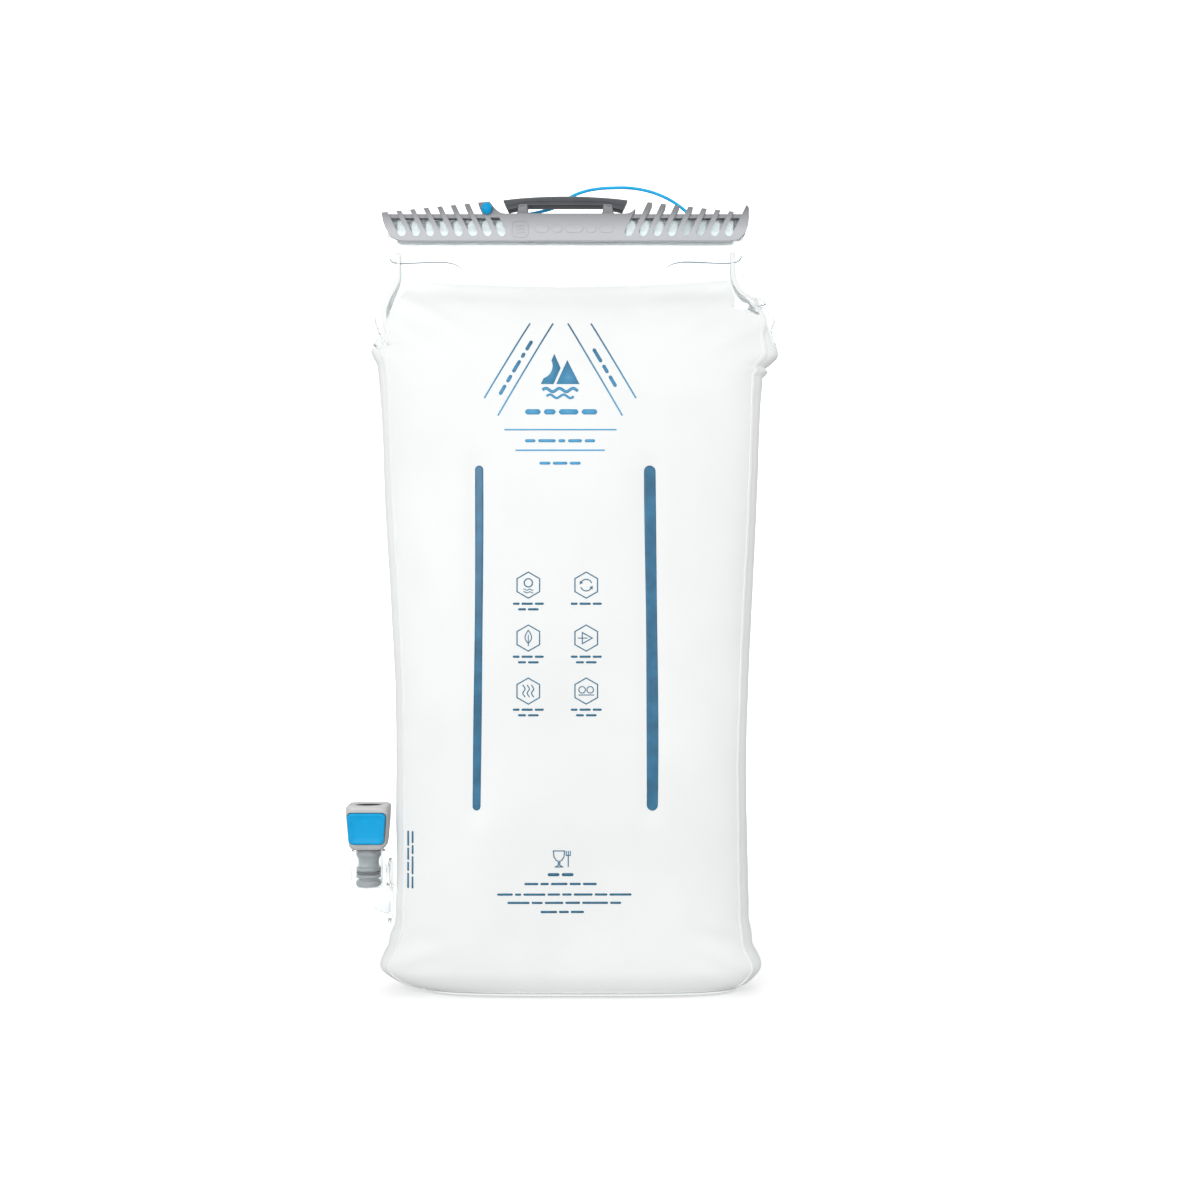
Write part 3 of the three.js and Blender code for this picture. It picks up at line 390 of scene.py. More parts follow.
# ---------------------------------------------------------------------------------------------
# Mesh helpers: sizes in millimetres, objects in metres
# ---------------------------------------------------------------------------------------------


def add_mesh(name, points, faces, *materials, smooth=True, fix_normals=True):
    mesh = bpy.data.meshes.new(name)
    mesh.from_pydata([Vector(p) * MM for p in points], [], faces)
    if fix_normals:
        form = bmesh.new()
        form.from_mesh(mesh)
        bmesh.ops.remove_doubles(form, verts=form.verts, dist=1e-7)
        bmesh.ops.recalc_face_normals(form, faces=form.faces)
        form.to_mesh(mesh)
        form.free()
    for material in materials:
        mesh.materials.append(material)
    mesh.polygons.foreach_set("use_smooth", [smooth] * len(mesh.polygons))
    piece = bpy.data.objects.new(name, mesh)
    bpy.context.scene.collection.objects.link(piece)
    return piece


def belongs(piece, body, slot, *replaced):
    """The piece moves with a body and stands for nodes of the frame, which it hides; the slot is not used."""
    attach(piece, body)
    if replaced:
        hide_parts(*replaced)
    return piece


def bevelled(piece, width=0.25, segments=3, angle=32):
    """Rounds the piece's sharp edges and keeps its flats flat."""
    piece.data.polygons.foreach_set("use_smooth", [True] * len(piece.data.polygons))
    rounding = piece.modifiers.new("rounded edges", "BEVEL")
    rounding.width = width * MM
    rounding.segments = segments
    rounding.limit_method = "ANGLE"
    rounding.angle_limit = math.radians(angle)
    rounding.use_clamp_overlap = True
    flats = piece.modifiers.new("flat faces", "WEIGHTED_NORMAL")
    flats.keep_sharp = False
    flats.weight = 80
    return piece


def cleaned(piece, angle=1.5):
    """Joins the flat facets of a node of the frame, so that its edges can be rounded."""
    joined = piece.modifiers.new("joined points", "WELD")
    joined.merge_threshold = 2e-6
    flat = piece.modifiers.new("joined facets", "DECIMATE")
    flat.decimate_type = "DISSOLVE"
    flat.angle_limit = math.radians(angle)
    return piece


def sharpened(piece, degrees):
    """Shades the piece smooth, except across edges sharper than an angle."""
    piece.data.polygons.foreach_set("use_smooth", [True] * len(piece.data.polygons))
    piece.data.set_sharp_from_angle(angle=math.radians(degrees))
    return piece


def thickened(piece, name, thickness, offset):
    """Gives a sheet its thickness."""
    skin = piece.modifiers.new(name, "SOLIDIFY")
    skin.thickness = thickness
    skin.offset = offset
    return piece


def shown_node(name, material):
    """A node of the frame that stays in view, with a finish and flat facets."""
    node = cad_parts[name]
    node.data.materials.clear()
    node.data.materials.append(material)
    return cleaned(node)


def applied(piece):
    """Makes the piece's modifiers part of its mesh."""
    graph = bpy.context.evaluated_depsgraph_get()
    mesh = bpy.data.meshes.new_from_object(piece.evaluated_get(graph))
    old = piece.data
    piece.modifiers.clear()
    piece.data = mesh
    bpy.data.meshes.remove(old)
    return piece


def carved(piece, removed=(), added=()):
    """The piece joined with some meshes and cut by others, which are used up."""
    for operation, tools in (("UNION", added), ("DIFFERENCE", removed)):
        for tool in tools:
            step = piece.modifiers.new("carve", "BOOLEAN")
            step.operation = operation
            step.solver = "EXACT"
            step.object = tool
    applied(piece)
    for tool in (*removed, *added):
        mesh = tool.data
        bpy.data.objects.remove(tool)
        bpy.data.meshes.remove(mesh)
    return piece


def loft_faces(rows, columns, closed):
    """Faces of a grid of points, closed round each row if asked."""
    last = columns if closed else columns - 1
    faces = []
    for row in range(rows - 1):
        for column in range(last):
            across = (column + 1) % columns
            faces.append(
                (row * columns + column, row * columns + across, (row + 1) * columns + across,
                 (row + 1) * columns + column)
            )
    return faces


def loft(name, rings, *materials, capped=True, looped=False):
    """A skin through rings of points, closed at both ends or back on itself."""
    columns = len(rings[0])
    points = [p for ring in rings for p in ring]
    faces = loft_faces(len(rings), columns, True)
    if looped:
        start = (len(rings) - 1) * columns
        faces += [(start + c, start + (c + 1) % columns, (c + 1) % columns, c) for c in range(columns)]
    elif capped:
        faces.append(tuple(range(columns)))
        faces.append(tuple(range(len(points) - columns, len(points))))
    return add_mesh(name, points, faces, *materials)


def box(name, low, high, *materials):
    corners = [Vector((x, y, z)) for z in (low[2], high[2]) for x, y in (
        (low[0], low[1]), (high[0], low[1]), (high[0], high[1]), (low[0], high[1]))]
    return loft(name, [corners[:4], corners[4:]], *materials)


def turned(name, profile, axis_x, *materials, sides=64):
    """A profile of (radius, height) points turned about an upright axis; it closes on itself."""
    rings = [[Vector((axis_x, 0, height)) + radius * Vector((math.cos(a), math.sin(a), 0)) for radius,
              height in profile]
             for a in (2 * math.pi * i / sides for i in range(sides))]
    return loft(name, rings, *materials, looped=True)


def soften(profile, radius=0.22, steps=3):
    """Rounds each corner of a closed profile of (radius, height) points."""
    rounded = []
    count = len(profile)
    for i, corner in enumerate(profile):
        here = Vector(corner)
        if here.x < 1e-6:
            rounded.append(tuple(here))
            continue
        before, after = Vector(profile[i - 1]) - here, Vector(profile[(i + 1) % count]) - here
        reach = min(radius, before.length * 0.45, after.length * 0.45)
        start, end = here + before.normalized() * reach, here + after.normalized() * reach
        for step in range(steps + 1):
            t = step / steps
            rounded.append(tuple(start * (1 - t) ** 2 + here * 2 * t * (1 - t) + end * t**2))
    return rounded


def frames(points):
    """For each point of a path, two directions across it that turn as little as they can."""
    tangents = []
    for i in range(len(points)):
        tangents.append((points[min(i + 1, len(points) - 1)] - points[max(i - 1, 0)]).normalized())
    across = Vector((0, 0, 1)).cross(tangents[0])
    if across.length < 0.1:
        across = Vector((0, 1, 0)).cross(tangents[0])
    across.normalize()
    result = []
    for i, tangent in enumerate(tangents):
        if i:
            across = (across - tangent * across.dot(tangent)).normalized()
        result.append((across.copy(), tangent.cross(across)))
    return result


def tube(name, points, radius, *materials, sides=16, looped=False):
    """A round tube along a path; radius is one value, or one for each point."""
    radii = radius if isinstance(radius, (list, tuple)) else [radius] * len(points)
    rings = []
    for point, (across, up), r in zip(points, frames(points), radii):
        rings.append([point + r * (across * math.cos(a) + up * math.sin(a))
                      for a in (2 * math.pi * i / sides for i in range(sides))])
    return loft(name, rings, *materials, looped=looped)


def smooth_path(points, steps):
    """A Catmull-Rom curve through the points, with some steps between each two."""
    ends = [2 * points[0] - points[1], *points, 2 * points[-1] - points[-2]]
    path = []
    for i in range(1, len(ends) - 2):
        a, b, c, d = ends[i - 1 : i + 3]
        for step in range(steps):
            t = step / steps
            path.append(0.5 * (2 * b + (c - a) * t + (2 * a - 5 * b + 4 * c - d) * t**2
                               + (3 * b - a - 3 * c + d) * t**3))
    return [*path, points[-1]]


def coil(name, radius, wire, height, turns, material, per_turn=22):
    """A compression spring with closed ends, standing on its lower end."""
    points = []
    total = int(turns * per_turn)
    for i in range(total + 1):
        share = i / total
        angle = 2 * math.pi * turns * share
        rise = share + 0.045 * math.sin(2 * math.pi * share)
        points.append(Vector((radius * math.cos(angle), radius * math.sin(angle),
                              wire + rise * (height - 2 * wire))))
    return tube(name, points, wire, material, sides=8)


def rounded_rectangle(half_x, half_y, radius, steps=6):
    points = []
    for quarter, (sx, sy) in enumerate(((1, 1), (-1, 1), (-1, -1), (1, -1))):
        for step in range(steps + 1):
            angle = (quarter + step / steps) * math.pi / 2
            points.append(Vector((sx * (half_x - radius) + radius * math.cos(angle),
                                  sy * (half_y - radius) + radius * math.sin(angle), 0)))
    return points


# ---------------------------------------------------------------------------------------------
# The bag's film
# ---------------------------------------------------------------------------------------------


def step_between(low, high, value):
    """0 below low, 1 above high, and smooth between."""
    t = min(1, max(0, (value - low) / (high - low)))
    return t * t * (3 - 2 * t)


def hump(value, middle, width):
    return math.exp(-(((value - middle) / width) ** 2))


@functools.lru_cache(maxsize=None)
def bag_section(height):
    """Left side, right side, half depth and squareness of the bag at a height, with no overshoot."""
    tables = list(zip(*BAG_STATIONS))
    heights = tables[0]
    i = max(0, min(len(heights) - 2, sum(h <= height for h in heights) - 1))
    run = heights[i + 1] - heights[i]
    t = min(1, max(0, (height - heights[i]) / run))
    result = []
    for values in tables[1:]:
        slopes = [(values[k + 1] - values[k]) / (heights[k + 1] - heights[k]) for k in range(len(values) - 1)]

        def tangent(k):
            if k in (0, len(values) - 1):
                return slopes[min(k, len(slopes) - 1)]
            before, after = slopes[k - 1], slopes[k]
            return 0 if before * after <= 0 else 2 * before * after / (before + after)

        a, b, c, d = values[i], values[i + 1], tangent(i) * run, tangent(i + 1) * run
        result.append(
            (2 * t**3 - 3 * t**2 + 1) * a + (t**3 - 2 * t**2 + t) * c + (3 * t**2 - 2 * t**3) * b
            + (t**3 - t**2) * d
        )
    return tuple(result)


@functools.lru_cache(maxsize=None)
def fold_out(height, right):
    """How far a side's folds stand out at a height."""
    points = RIGHT_FOLDS if right else LEFT_FOLDS
    total = 0
    for shift in (-0.8, 0, 0.8):
        z = height + shift
        value = 0
        for (z0, out0), (z1, out1) in zip(points, points[1:]):
            if z0 <= z < z1:
                value = out0 + (out1 - out0) * (z - z0) / (z1 - z0)
        total += value / 3
    return total


def film_relief(point, middle, half, deep):
    """How far the film stands out of the bag's plain section, in millimetres."""
    x, y, z = point
    across = x - middle
    on_panel = step_between(0.45, 0.9, abs(y) / deep)
    loose = step_between(4, 30, z) * (1 - step_between(335, 352, z))
    out = settings().slack / MM * 0.9 * loose * noise.noise(Vector((x / 55, y / 40, z / 80)))
    out += 0.35 * loose * noise.noise(Vector((x / 17 + 7, y / 20, z / 34)))
    # The panels are drawn in along the weld strips, and swell between them.
    along = step_between(WELD_LOW - 10, WELD_LOW + 14, z)
    along *= 1 - step_between(WELD_HIGH - 14, WELD_HIGH + 10, z)
    out -= 1.5 * along * on_panel * hump(abs(x), WELD_X, 6)
    for end in (WELD_LOW, WELD_HIGH):
        out -= 0.7 * on_panel * hump(abs(x), WELD_X, 5) * hump(z, end, 6)
    # Small waves where a seam is shorter than the film it joins.
    seam_distance = abs(half - SEAM_INSET - abs(across))
    waves = math.sin(z / 3.1 + 2 * noise.noise(Vector((z / 25, across / 30, y / 30))))
    out += settings().pucker / MM * loose * waves * math.exp(-seam_distance / 5) * (0.4 + 0.6 * on_panel)
    # Creases that run from the heel's corners up the panels, and from the shoulders down.
    heel = hump(z, 24, 13) * step_between(50, 82, abs(across))
    out += 0.55 * heel * math.sin(0.42 * z + 0.16 * abs(across)
                                  + 1.6 * noise.noise(Vector((x / 20, y / 20, z / 20))))
    shoulder = hump(z, 331, 16) * step_between(34, 78, abs(across))
    out += 0.75 * shoulder * math.sin(0.33 * z - 0.21 * abs(across)
                                      + 2 * noise.noise(Vector((x / 24, y / 22, z / 26))))
    # A pocket under the neck, deeper towards the sides.
    pocket = 2.1 * on_panel * hump(z, 349, 4.5) * (abs(across) / 70) ** 2
    out -= pocket * (1 - step_between(74, 86, abs(across)))
    # The gussets' soft middle fold.
    on_gusset = 1 - step_between(0.1, 0.55, abs(y) / deep)
    out -= 1.9 * on_gusset * hump(y, 0, 6) * step_between(84, 130, z) * (1 - step_between(270, 300, z))
    return out


def film_point(panel, share, height):
    """A point of the film's outer face: share runs from -1 to 1 across the panel."""
    left, right, deep, square = bag_section(height)
    middle, half = (left + right) / 2, (right - left) / 2
    seam = half - SEAM_INSET
    if panel in ("front", "back"):
        x = seam * math.sin(share * math.pi / 2)
        y = (1 if panel == "back" else -1) * deep * (1 - abs(x / half) ** square) ** (1 / square)
    else:
        y = share * deep * (1 - (seam / half) ** square) ** (1 / square)
        x = (1 if panel == "right" else -1) * half * (1 - abs(y / deep) ** square) ** (1 / square)
    point = Vector((middle + x, y, height))
    outward = Vector(
        (
            math.copysign(abs(x / half) ** (square - 1) / half, x),
            math.copysign(abs(y / deep) ** (square - 1) / deep, y),
            0,
        )
    ).normalized()
    point += outward * film_relief(point, middle, half, deep)
    from_side = abs(y) + (half - abs(x))
    fade = 1 - step_between(8, FOLD_REACH, from_side)
    point.x += math.copysign(fold_out(round(height, 3), x > 0) * fade, x)
    dip = FROST_DIP * (1 - (x / half) ** 2) * step_between(322, FROST_TOP, height)
    point.z -= dip * (1 - step_between(FROST_TOP, NECK_TOP, height))
    return point


def spaced(low, high, step):
    count = max(1, round((high - low) / step))
    return [low + (high - low) * i / count for i in range(count)]


def film_rows():
    rows = spaced(0.8, HEEL_TOP, 1.6) + spaced(HEEL_TOP, SHOULDER_LOW, 4)
    rows += spaced(SHOULDER_LOW, FROST_TOP, FILM_STEP)
    return rows + spaced(FROST_TOP, 370, 2) + [370, 376, MOUTH_TOP]


# The edges of the frosting at the shoulders: height and place from side to side.
LEFT_FROST = ((317, -110), (319, -86.4), (322.2, -88.9), (327.3, -89.9), (331.3, -88.9), (336.4, -86.4),
              (340.4, -83.9), (349, -79.8), (356, -73.6))
RIGHT_FROST = ((318, 110), (321, 102.4), (330, 100.4), (334.5, 97), (337, 90), (338.5, 82.9),
               (345, 84.4), (356, 80.8))


def edge_at(table, z):
    for (z0, x0), (z1, x1) in zip(table, table[1:]):
        if z0 <= z <= z1:
            return x0 + (x1 - x0) * (z - z0) / (z1 - z0)
    return table[0][1] if z < table[0][0] else table[-1][1]


def frosting(x, z):
    """1 where the film is frosted, 0 where it is clear."""
    share = 1 - step_between(FROST_TOP - 1.6, FROST_TOP + 1.2, z)
    share *= step_between(-0.9, 0.9, x - edge_at(LEFT_FROST, z))
    return share * step_between(-0.9, 0.9, edge_at(RIGHT_FROST, z) - x)


def film_panel(name, panel, columns, node):
    rows = film_rows()
    points = [film_point(panel, -1 + 2 * i / columns, z) for z in rows for i in range(columns + 1)]
    faces = [face[::-1] for face in loft_faces(len(rows), columns + 1, False)]
    piece = add_mesh(name, points, faces, bag_film(), fix_normals=False)
    outward = {"front": (0, -1), "back": (0, 1), "left": (-1, 0), "right": (1, 0)}[panel]
    sample = piece.data.polygons[len(faces) // 2]
    if sample.normal.x * outward[0] + sample.normal.y * outward[1] < 0:
        piece.data.flip_normals()
    frost = piece.data.attributes.new("frost", "FLOAT", "POINT")
    heights = [z for z in rows for _ in range(columns + 1)]
    frost.data.foreach_set("value", [frosting(p.x, z) for p, z in zip(points, heights)])
    thickened(piece, "film thickness", settings().film_thickness, -1)
    return belongs(piece, "bladder", "film", node)


def sole_outline(height, steps=40):
    """The bag's outline at a height, anticlockwise seen from above."""
    points = [film_point("front", -1 + 2 * i / steps, height) for i in range(steps)]
    points += [film_point("right", -1 + 2 * i / 16, height) for i in range(16)]
    points += [film_point("back", 1 - 2 * i / steps, height) for i in range(steps)]
    points += [film_point("left", 1 - 2 * i / 16, height) for i in range(16)]
    return points


def sole_film():
    """The sole: a sheet that turns up at its rim to meet the panels."""
    outline = sole_outline(0.8)
    centre = sum(outline, Vector()) / len(outline)
    rings = []
    for share, z in ((0.02, 0.02), (0.3, 0.02), (0.6, 0.02), (0.85, 0.02), (0.95, 0.08), (0.985, 0.3),
                     (1, 0.8)):
        ring = []
        for p in outline:
            flat = centre + (p - centre) * share
            ring.append(Vector((flat.x, flat.y, z)))
        rings.append(ring)
    points = [p for ring in rings for p in ring]
    count = len(outline)
    faces = loft_faces(len(rings), count, True) + [tuple(range(count))]
    piece = add_mesh("sole_film", points, faces, named_finish("frosted_film"))
    if piece.data.polygons[0].normal.z > 0:
        piece.data.flip_normals()
    thickened(piece, "film thickness", 0.5 * MM, -1)
    return belongs(piece, "bladder", "film", "sole_gusset")


def ribbon(name, path, outward, width, thickness, material, edge=0.35):
    """A flat strip with rounded edges along a path; outward gives its face's direction at each point."""
    rings = []
    for i, (point, out) in enumerate(zip(path, outward)):
        tangent = (path[min(i + 1, len(path) - 1)] - path[max(i - 1, 0)]).normalized()
        side = tangent.cross(out).normalized()
        half = width / 2
        profile = ((-half, -0.25), (-half, thickness * 0.4), (-half + edge, thickness),
                   (half - edge, thickness), (half, thickness * 0.4), (half, -0.25))
        rings.append([point + side * s + out * t for s, t in profile])
    return loft(name, rings, material)


def seam_points(panel, share, heights):
    """Points and outward directions along an upright seam."""
    path = [film_point(panel, share, z) for z in heights]
    outward = []
    for i, height in enumerate(heights):
        gusset = film_point("right" if share > 0 else "left", 0.86 if panel == "back" else -0.86, height)
        inner = film_point(panel, share * 0.93, height)
        across = (gusset - inner).normalized()
        upward = (path[min(i + 1, len(path) - 1)] - path[max(i - 1, 0)]).normalized()
        out = across.cross(upward)
        if out.dot(Vector((math.copysign(0.5, share), 1 if panel == "back" else -1, 0))) < 0:
            out.negate()
        outward.append(out.normalized())
    return path, outward


class BLADDER_OT_film(bpy.types.Operator):
    """Adds the five film panels of the bag"""

    bl_idname = "bladder.film"
    bl_label = "Film Panels"

    def execute(self, context):
        columns = settings().columns
        film_panel("front_film", "front", columns, "front_panel")
        film_panel("back_film", "back", columns, "back_panel")
        film_panel("left_gusset_film", "left", columns // 3, "left_gusset")
        film_panel("right_gusset_film", "right", columns // 3, "right_gusset")
        sole_film()
        return {"FINISHED"}


class BLADDER_OT_seams(bpy.types.Operator):
    """Adds the welded seams between the panels, and the weld lines of the mouth"""

    bl_idname = "bladder.seams"
    bl_label = "Seams"

    def execute(self, context):
        heights = spaced(3, HEEL_TOP, 1.6) + spaced(HEEL_TOP, SHOULDER_LOW, 2.4)
        heights += spaced(SHOULDER_LOW, NECK_TOP, 1.1)
        for panel in ("front", "back"):
            for side, share in (("left", -1), ("right", 1)):
                path, outward = seam_points(panel, share, heights)
                strip = ribbon(f"{panel}_{side}_seam", path, outward, 2.6, 0.28, named_finish("frosted_film"))
                belongs(strip, "bladder", "film")
        self.sole_seam()
        self.mouth_lines()
        return {"FINISHED"}

    def sole_seam(self):
        """A narrow flange where the panels meet the sole."""
        path = []
        for point in sole_outline(1.6, 56):
            out = Vector((point.x - SOLE_MIDDLE, point.y, 0)).normalized()
            path.append(Vector((point.x, point.y, 1.5)) + out * 0.2)
        section = ((-0.8, -0.45), (1.5, -0.5), (2.0, -0.2), (2.0, 0.15), (1.5, 0.4), (-0.8, 0.4))
        rings = []
        count = len(path)
        for i, point in enumerate(path):
            tangent = (path[(i + 1) % count] - path[i - 1]).normalized()
            out = tangent.cross(Vector((0, 0, 1))).normalized()
            rings.append([point + out * a + Vector((0, 0, b)) for a, b in section])
        flange = loft("sole_seam", rings, named_finish("frosted_film"), looped=True)
        belongs(flange, "bladder", "film")

    def mouth_lines(self):
        """Weld lines that start at the neck's sides and turn down where the frosting begins."""
        outlines = {
            "left": ((-87.6, 363.8), (-85.9, 362), (-81.9, 361.3), (-74.8, 361.6), (-63.7, 362),
                     (-59.2, 361.8), (-54.8, 360.8), (-52.1, 359), (-49.2, 356.6), (-46.5, 354.6)),
            "right": ((88, 365.2), (87, 363.4), (85, 362.1), (78.4, 361.4), (66.4, 361.9), (58.3, 362),
                      (53.9, 361.2), (51.2, 359.9), (49.4, 358.1), (47.6, 356)),
        }
        for name, outline in outlines.items():
            flat = [Vector((x, -40, z)) for x, z in outline]
            path = [on_front(p.x, p.z, 0.02) for p in smooth_path(flat, 5)]
            radii = [0.3 * min(1, 0.15 + 0.85 * (len(path) - 1 - i) / 18) for i in range(len(path))]
            belongs(tube(f"{name}_neck_line", path, radii, named_finish("weld_line"), sides=8), "bladder",
                    "film")


@functools.lru_cache(maxsize=None)
def front_tree():
    return film_tree("front_film", "left_gusset_film", "right_gusset_film")


def film_tree(*names):
    points, faces = [], []
    for name in names:
        mesh = bpy.data.objects[name].data
        start = len(points)
        points += [v.co.copy() for v in mesh.vertices]
        faces += [tuple(start + v for v in face.vertices) for face in mesh.polygons]
    return BVHTree.FromPolygons(points, faces)


def on_front(x, z, lift=0):
    """The point of the film's front at X and Z, raised off it; all in millimetres."""
    hit = front_tree().ray_cast(Vector((x, -100, z)) * MM, Vector((0, 1, 0)))[0]
    if hit is None:
        raise RuntimeError(f"nothing of the front film lies at {x:.1f}, {z:.1f}")
    return hit / MM - Vector((0, lift, 0))


# ---------------------------------------------------------------------------------------------
# Baffle
# ---------------------------------------------------------------------------------------------


class BLADDER_OT_baffle(bpy.types.Operator):
    """Adds the two webs of the baffle and their weld strips on both faces of the bag"""

    bl_idname = "bladder.baffle"
    bl_label = "Baffle"

    def execute(self, context):
        for name, side, width in (("left", -1, 4.0), ("right", 1, 5.6)):
            self.web(name, side)
            for panel in ("front", "back"):
                self.strip(f"{panel}_{name}_weld", panel, side, width)
        return {"FINISHED"}

    def web(self, name, side):
        rings = []
        for z in spaced(WELD_LOW + 0.5, WELD_HIGH - 0.5, 8) + [WELD_HIGH - 0.5]:
            reach = abs(on_front(side * WELD_X, z).y) - 0.9
            x = side * (WELD_X + 0.5 * math.sin(z / 31))
            rings.append([Vector((x - 0.2, -reach, z)), Vector((x + 0.2, -reach, z)),
                          Vector((x + 0.2, reach, z)), Vector((x - 0.2, reach, z))])
        web = loft(f"{name}_web", rings, named_finish("weld_film"))
        belongs(web, "bladder", "baffle_film", f"baffle_{name}")

    def strip(self, name, panel, side, width):
        """A weld strip that bows a little, with round ends."""
        facing, surface_at = (-1, on_front) if panel == "front" else (1, back_point)
        rings = []
        ends = width / 2
        heights = [WELD_LOW + ends * (1 - math.cos(a)) for a in (i * math.pi / 12 for i in range(6))]
        heights += spaced(WELD_LOW + ends, WELD_HIGH - ends, 2.5)
        heights += [WELD_HIGH - ends * (1 - math.sin(a)) for a in (i * math.pi / 12 for i in range(7))]
        for z in heights:
            from_end = min(z - WELD_LOW, WELD_HIGH - z)
            half = math.sqrt(max(0.02, ends**2 - max(0, ends - from_end) ** 2))
            half *= 1 + 0.03 * math.sin(z / 17)
            bow = 0.7 * math.sin((z - WELD_LOW) / 52 + side)
            ring = []
            for share in (-1, -0.82, -0.4, 0, 0.4, 0.82, 1):
                lift = 0.34 * (1 - abs(share) ** 5)
                ring.append(surface_at(side * WELD_X + bow + half * share, z) + Vector((0, facing * lift, 0)))
            for share in (1, 0, -1):
                ring.append(surface_at(side * WELD_X + bow + half * share, z) - Vector((0, facing * 0.25, 0)))
            rings.append(ring)
        belongs(loft(name, rings, named_finish("weld_film")), "bladder", "baffle_film")


@functools.lru_cache(maxsize=None)
def back_tree():
    return film_tree("back_film")


def back_point(x, z):
    return back_tree().ray_cast(Vector((x, 100, z)) * MM, Vector((0, -1, 0)))[0] / MM


# ---------------------------------------------------------------------------------------------
# Print on the front film
# ---------------------------------------------------------------------------------------------


def stroke(points, width, closed=False, step=1.2):
    """A line of the given width as quads, from (x, z) points."""
    line = [Vector(p) for p in points]
    if closed:
        line.append(line[0])
    dense = []
    for a, b in zip(line, line[1:]):
        count = max(1, math.ceil((b - a).length / step))
        dense += [a + (b - a) * i / count for i in range(count)]
    dense.append(line[-1])
    last = len(dense) - 1
    edges = []
    for i, point in enumerate(dense):
        before = dense[i - 1] if i else (dense[last - 1] if closed else point)
        after = dense[i + 1] if i < last else (dense[1] if closed else point)
        first = ((point - before).normalized() if (point - before).length > 1e-9
                 else (after - point).normalized())
        second = (after - point).normalized() if (after - point).length > 1e-9 else first
        along = (first + second).normalized() if (first + second).length > 1e-6 else first
        normal = Vector((-along.y, along.x))
        miter = min(2, 1 / max(0.3, normal.dot(Vector((-second.y, second.x)))))
        edges.append((point + normal * width / 2 * miter, point - normal * width / 2 * miter))
    return [[a0, b0, b1, a1] for (a0, b0), (a1, b1) in zip(edges, edges[1:])]


def filled(points):
    """A filled outline as triangles, from (x, z) points."""
    outline = [Vector((x, z, 0)) for x, z in points]
    return [[outline[i].xy for i in triangle] for triangle in geometry.tessellate_polygon([outline])]


def dash_row(x, z, total, height, lengths, gap=0.9, slant=0):
    """A row of rounded dashes centred at a place, as wide as asked, turned by slant."""
    unit = (total - gap * (len(lengths) - 1)) / sum(lengths)
    faces, at = [], -total / 2
    turn = Matrix.Rotation(slant, 2)
    for share in lengths:
        start, end = at, at + unit * share
        cut = min(height * 0.35, (end - start) * 0.3)
        low, high = -height / 2, height / 2
        outline = ((start + cut, low), (end - cut, low), (end, low + cut), (end, high - cut),
                   (end - cut, high), (start + cut, high), (start, high - cut), (start, low + cut))
        faces += filled([tuple(turn @ Vector(p) + Vector((x, z))) for p in outline])
        at = end + gap
    return faces


def ring_points(x, z, radius, sides=20, start=0.0, turn=2 * math.pi):
    return [(x + radius * math.cos(start + turn * i / sides), z + radius * math.sin(start + turn * i / sides))
            for i in range(sides + (0 if abs(turn - 2 * math.pi) < 1e-9 else 1))]


def laid(name, flats, place, material, coat, thickness, smooth=True, merge=False):
    """Flat shapes laid on a front as one thin sheet; place gives the point for an X and a Z."""
    points, faces = [], []
    for flat in flats:
        start = len(points)
        points += [place(p[0], p[1]) for p in flat]
        faces.append(tuple(range(start, start + len(flat))))
    piece = add_mesh(name, points, faces, material, smooth=smooth, fix_normals=False)
    form = bmesh.new()
    form.from_mesh(piece.data)
    bmesh.ops.remove_doubles(form, verts=form.verts, dist=2e-6)
    if merge:
        bmesh.ops.dissolve_limit(form, angle_limit=0.01, verts=form.verts, edges=form.edges)
    for face in form.faces:
        face.normal_update()
        if face.normal.y > 0:
            face.normal_flip()
    form.to_mesh(piece.data)
    form.free()
    return thickened(piece, coat, thickness * MM, 1)


def printed(name, flats, material):
    """Flat shapes laid on the front film as a thin coat of ink."""
    piece = laid(name, flats, lambda x, z: on_front(x, z, INK_LIFT), material, "ink coat", INK_THICKNESS)
    return belongs(piece, "bladder", "film")


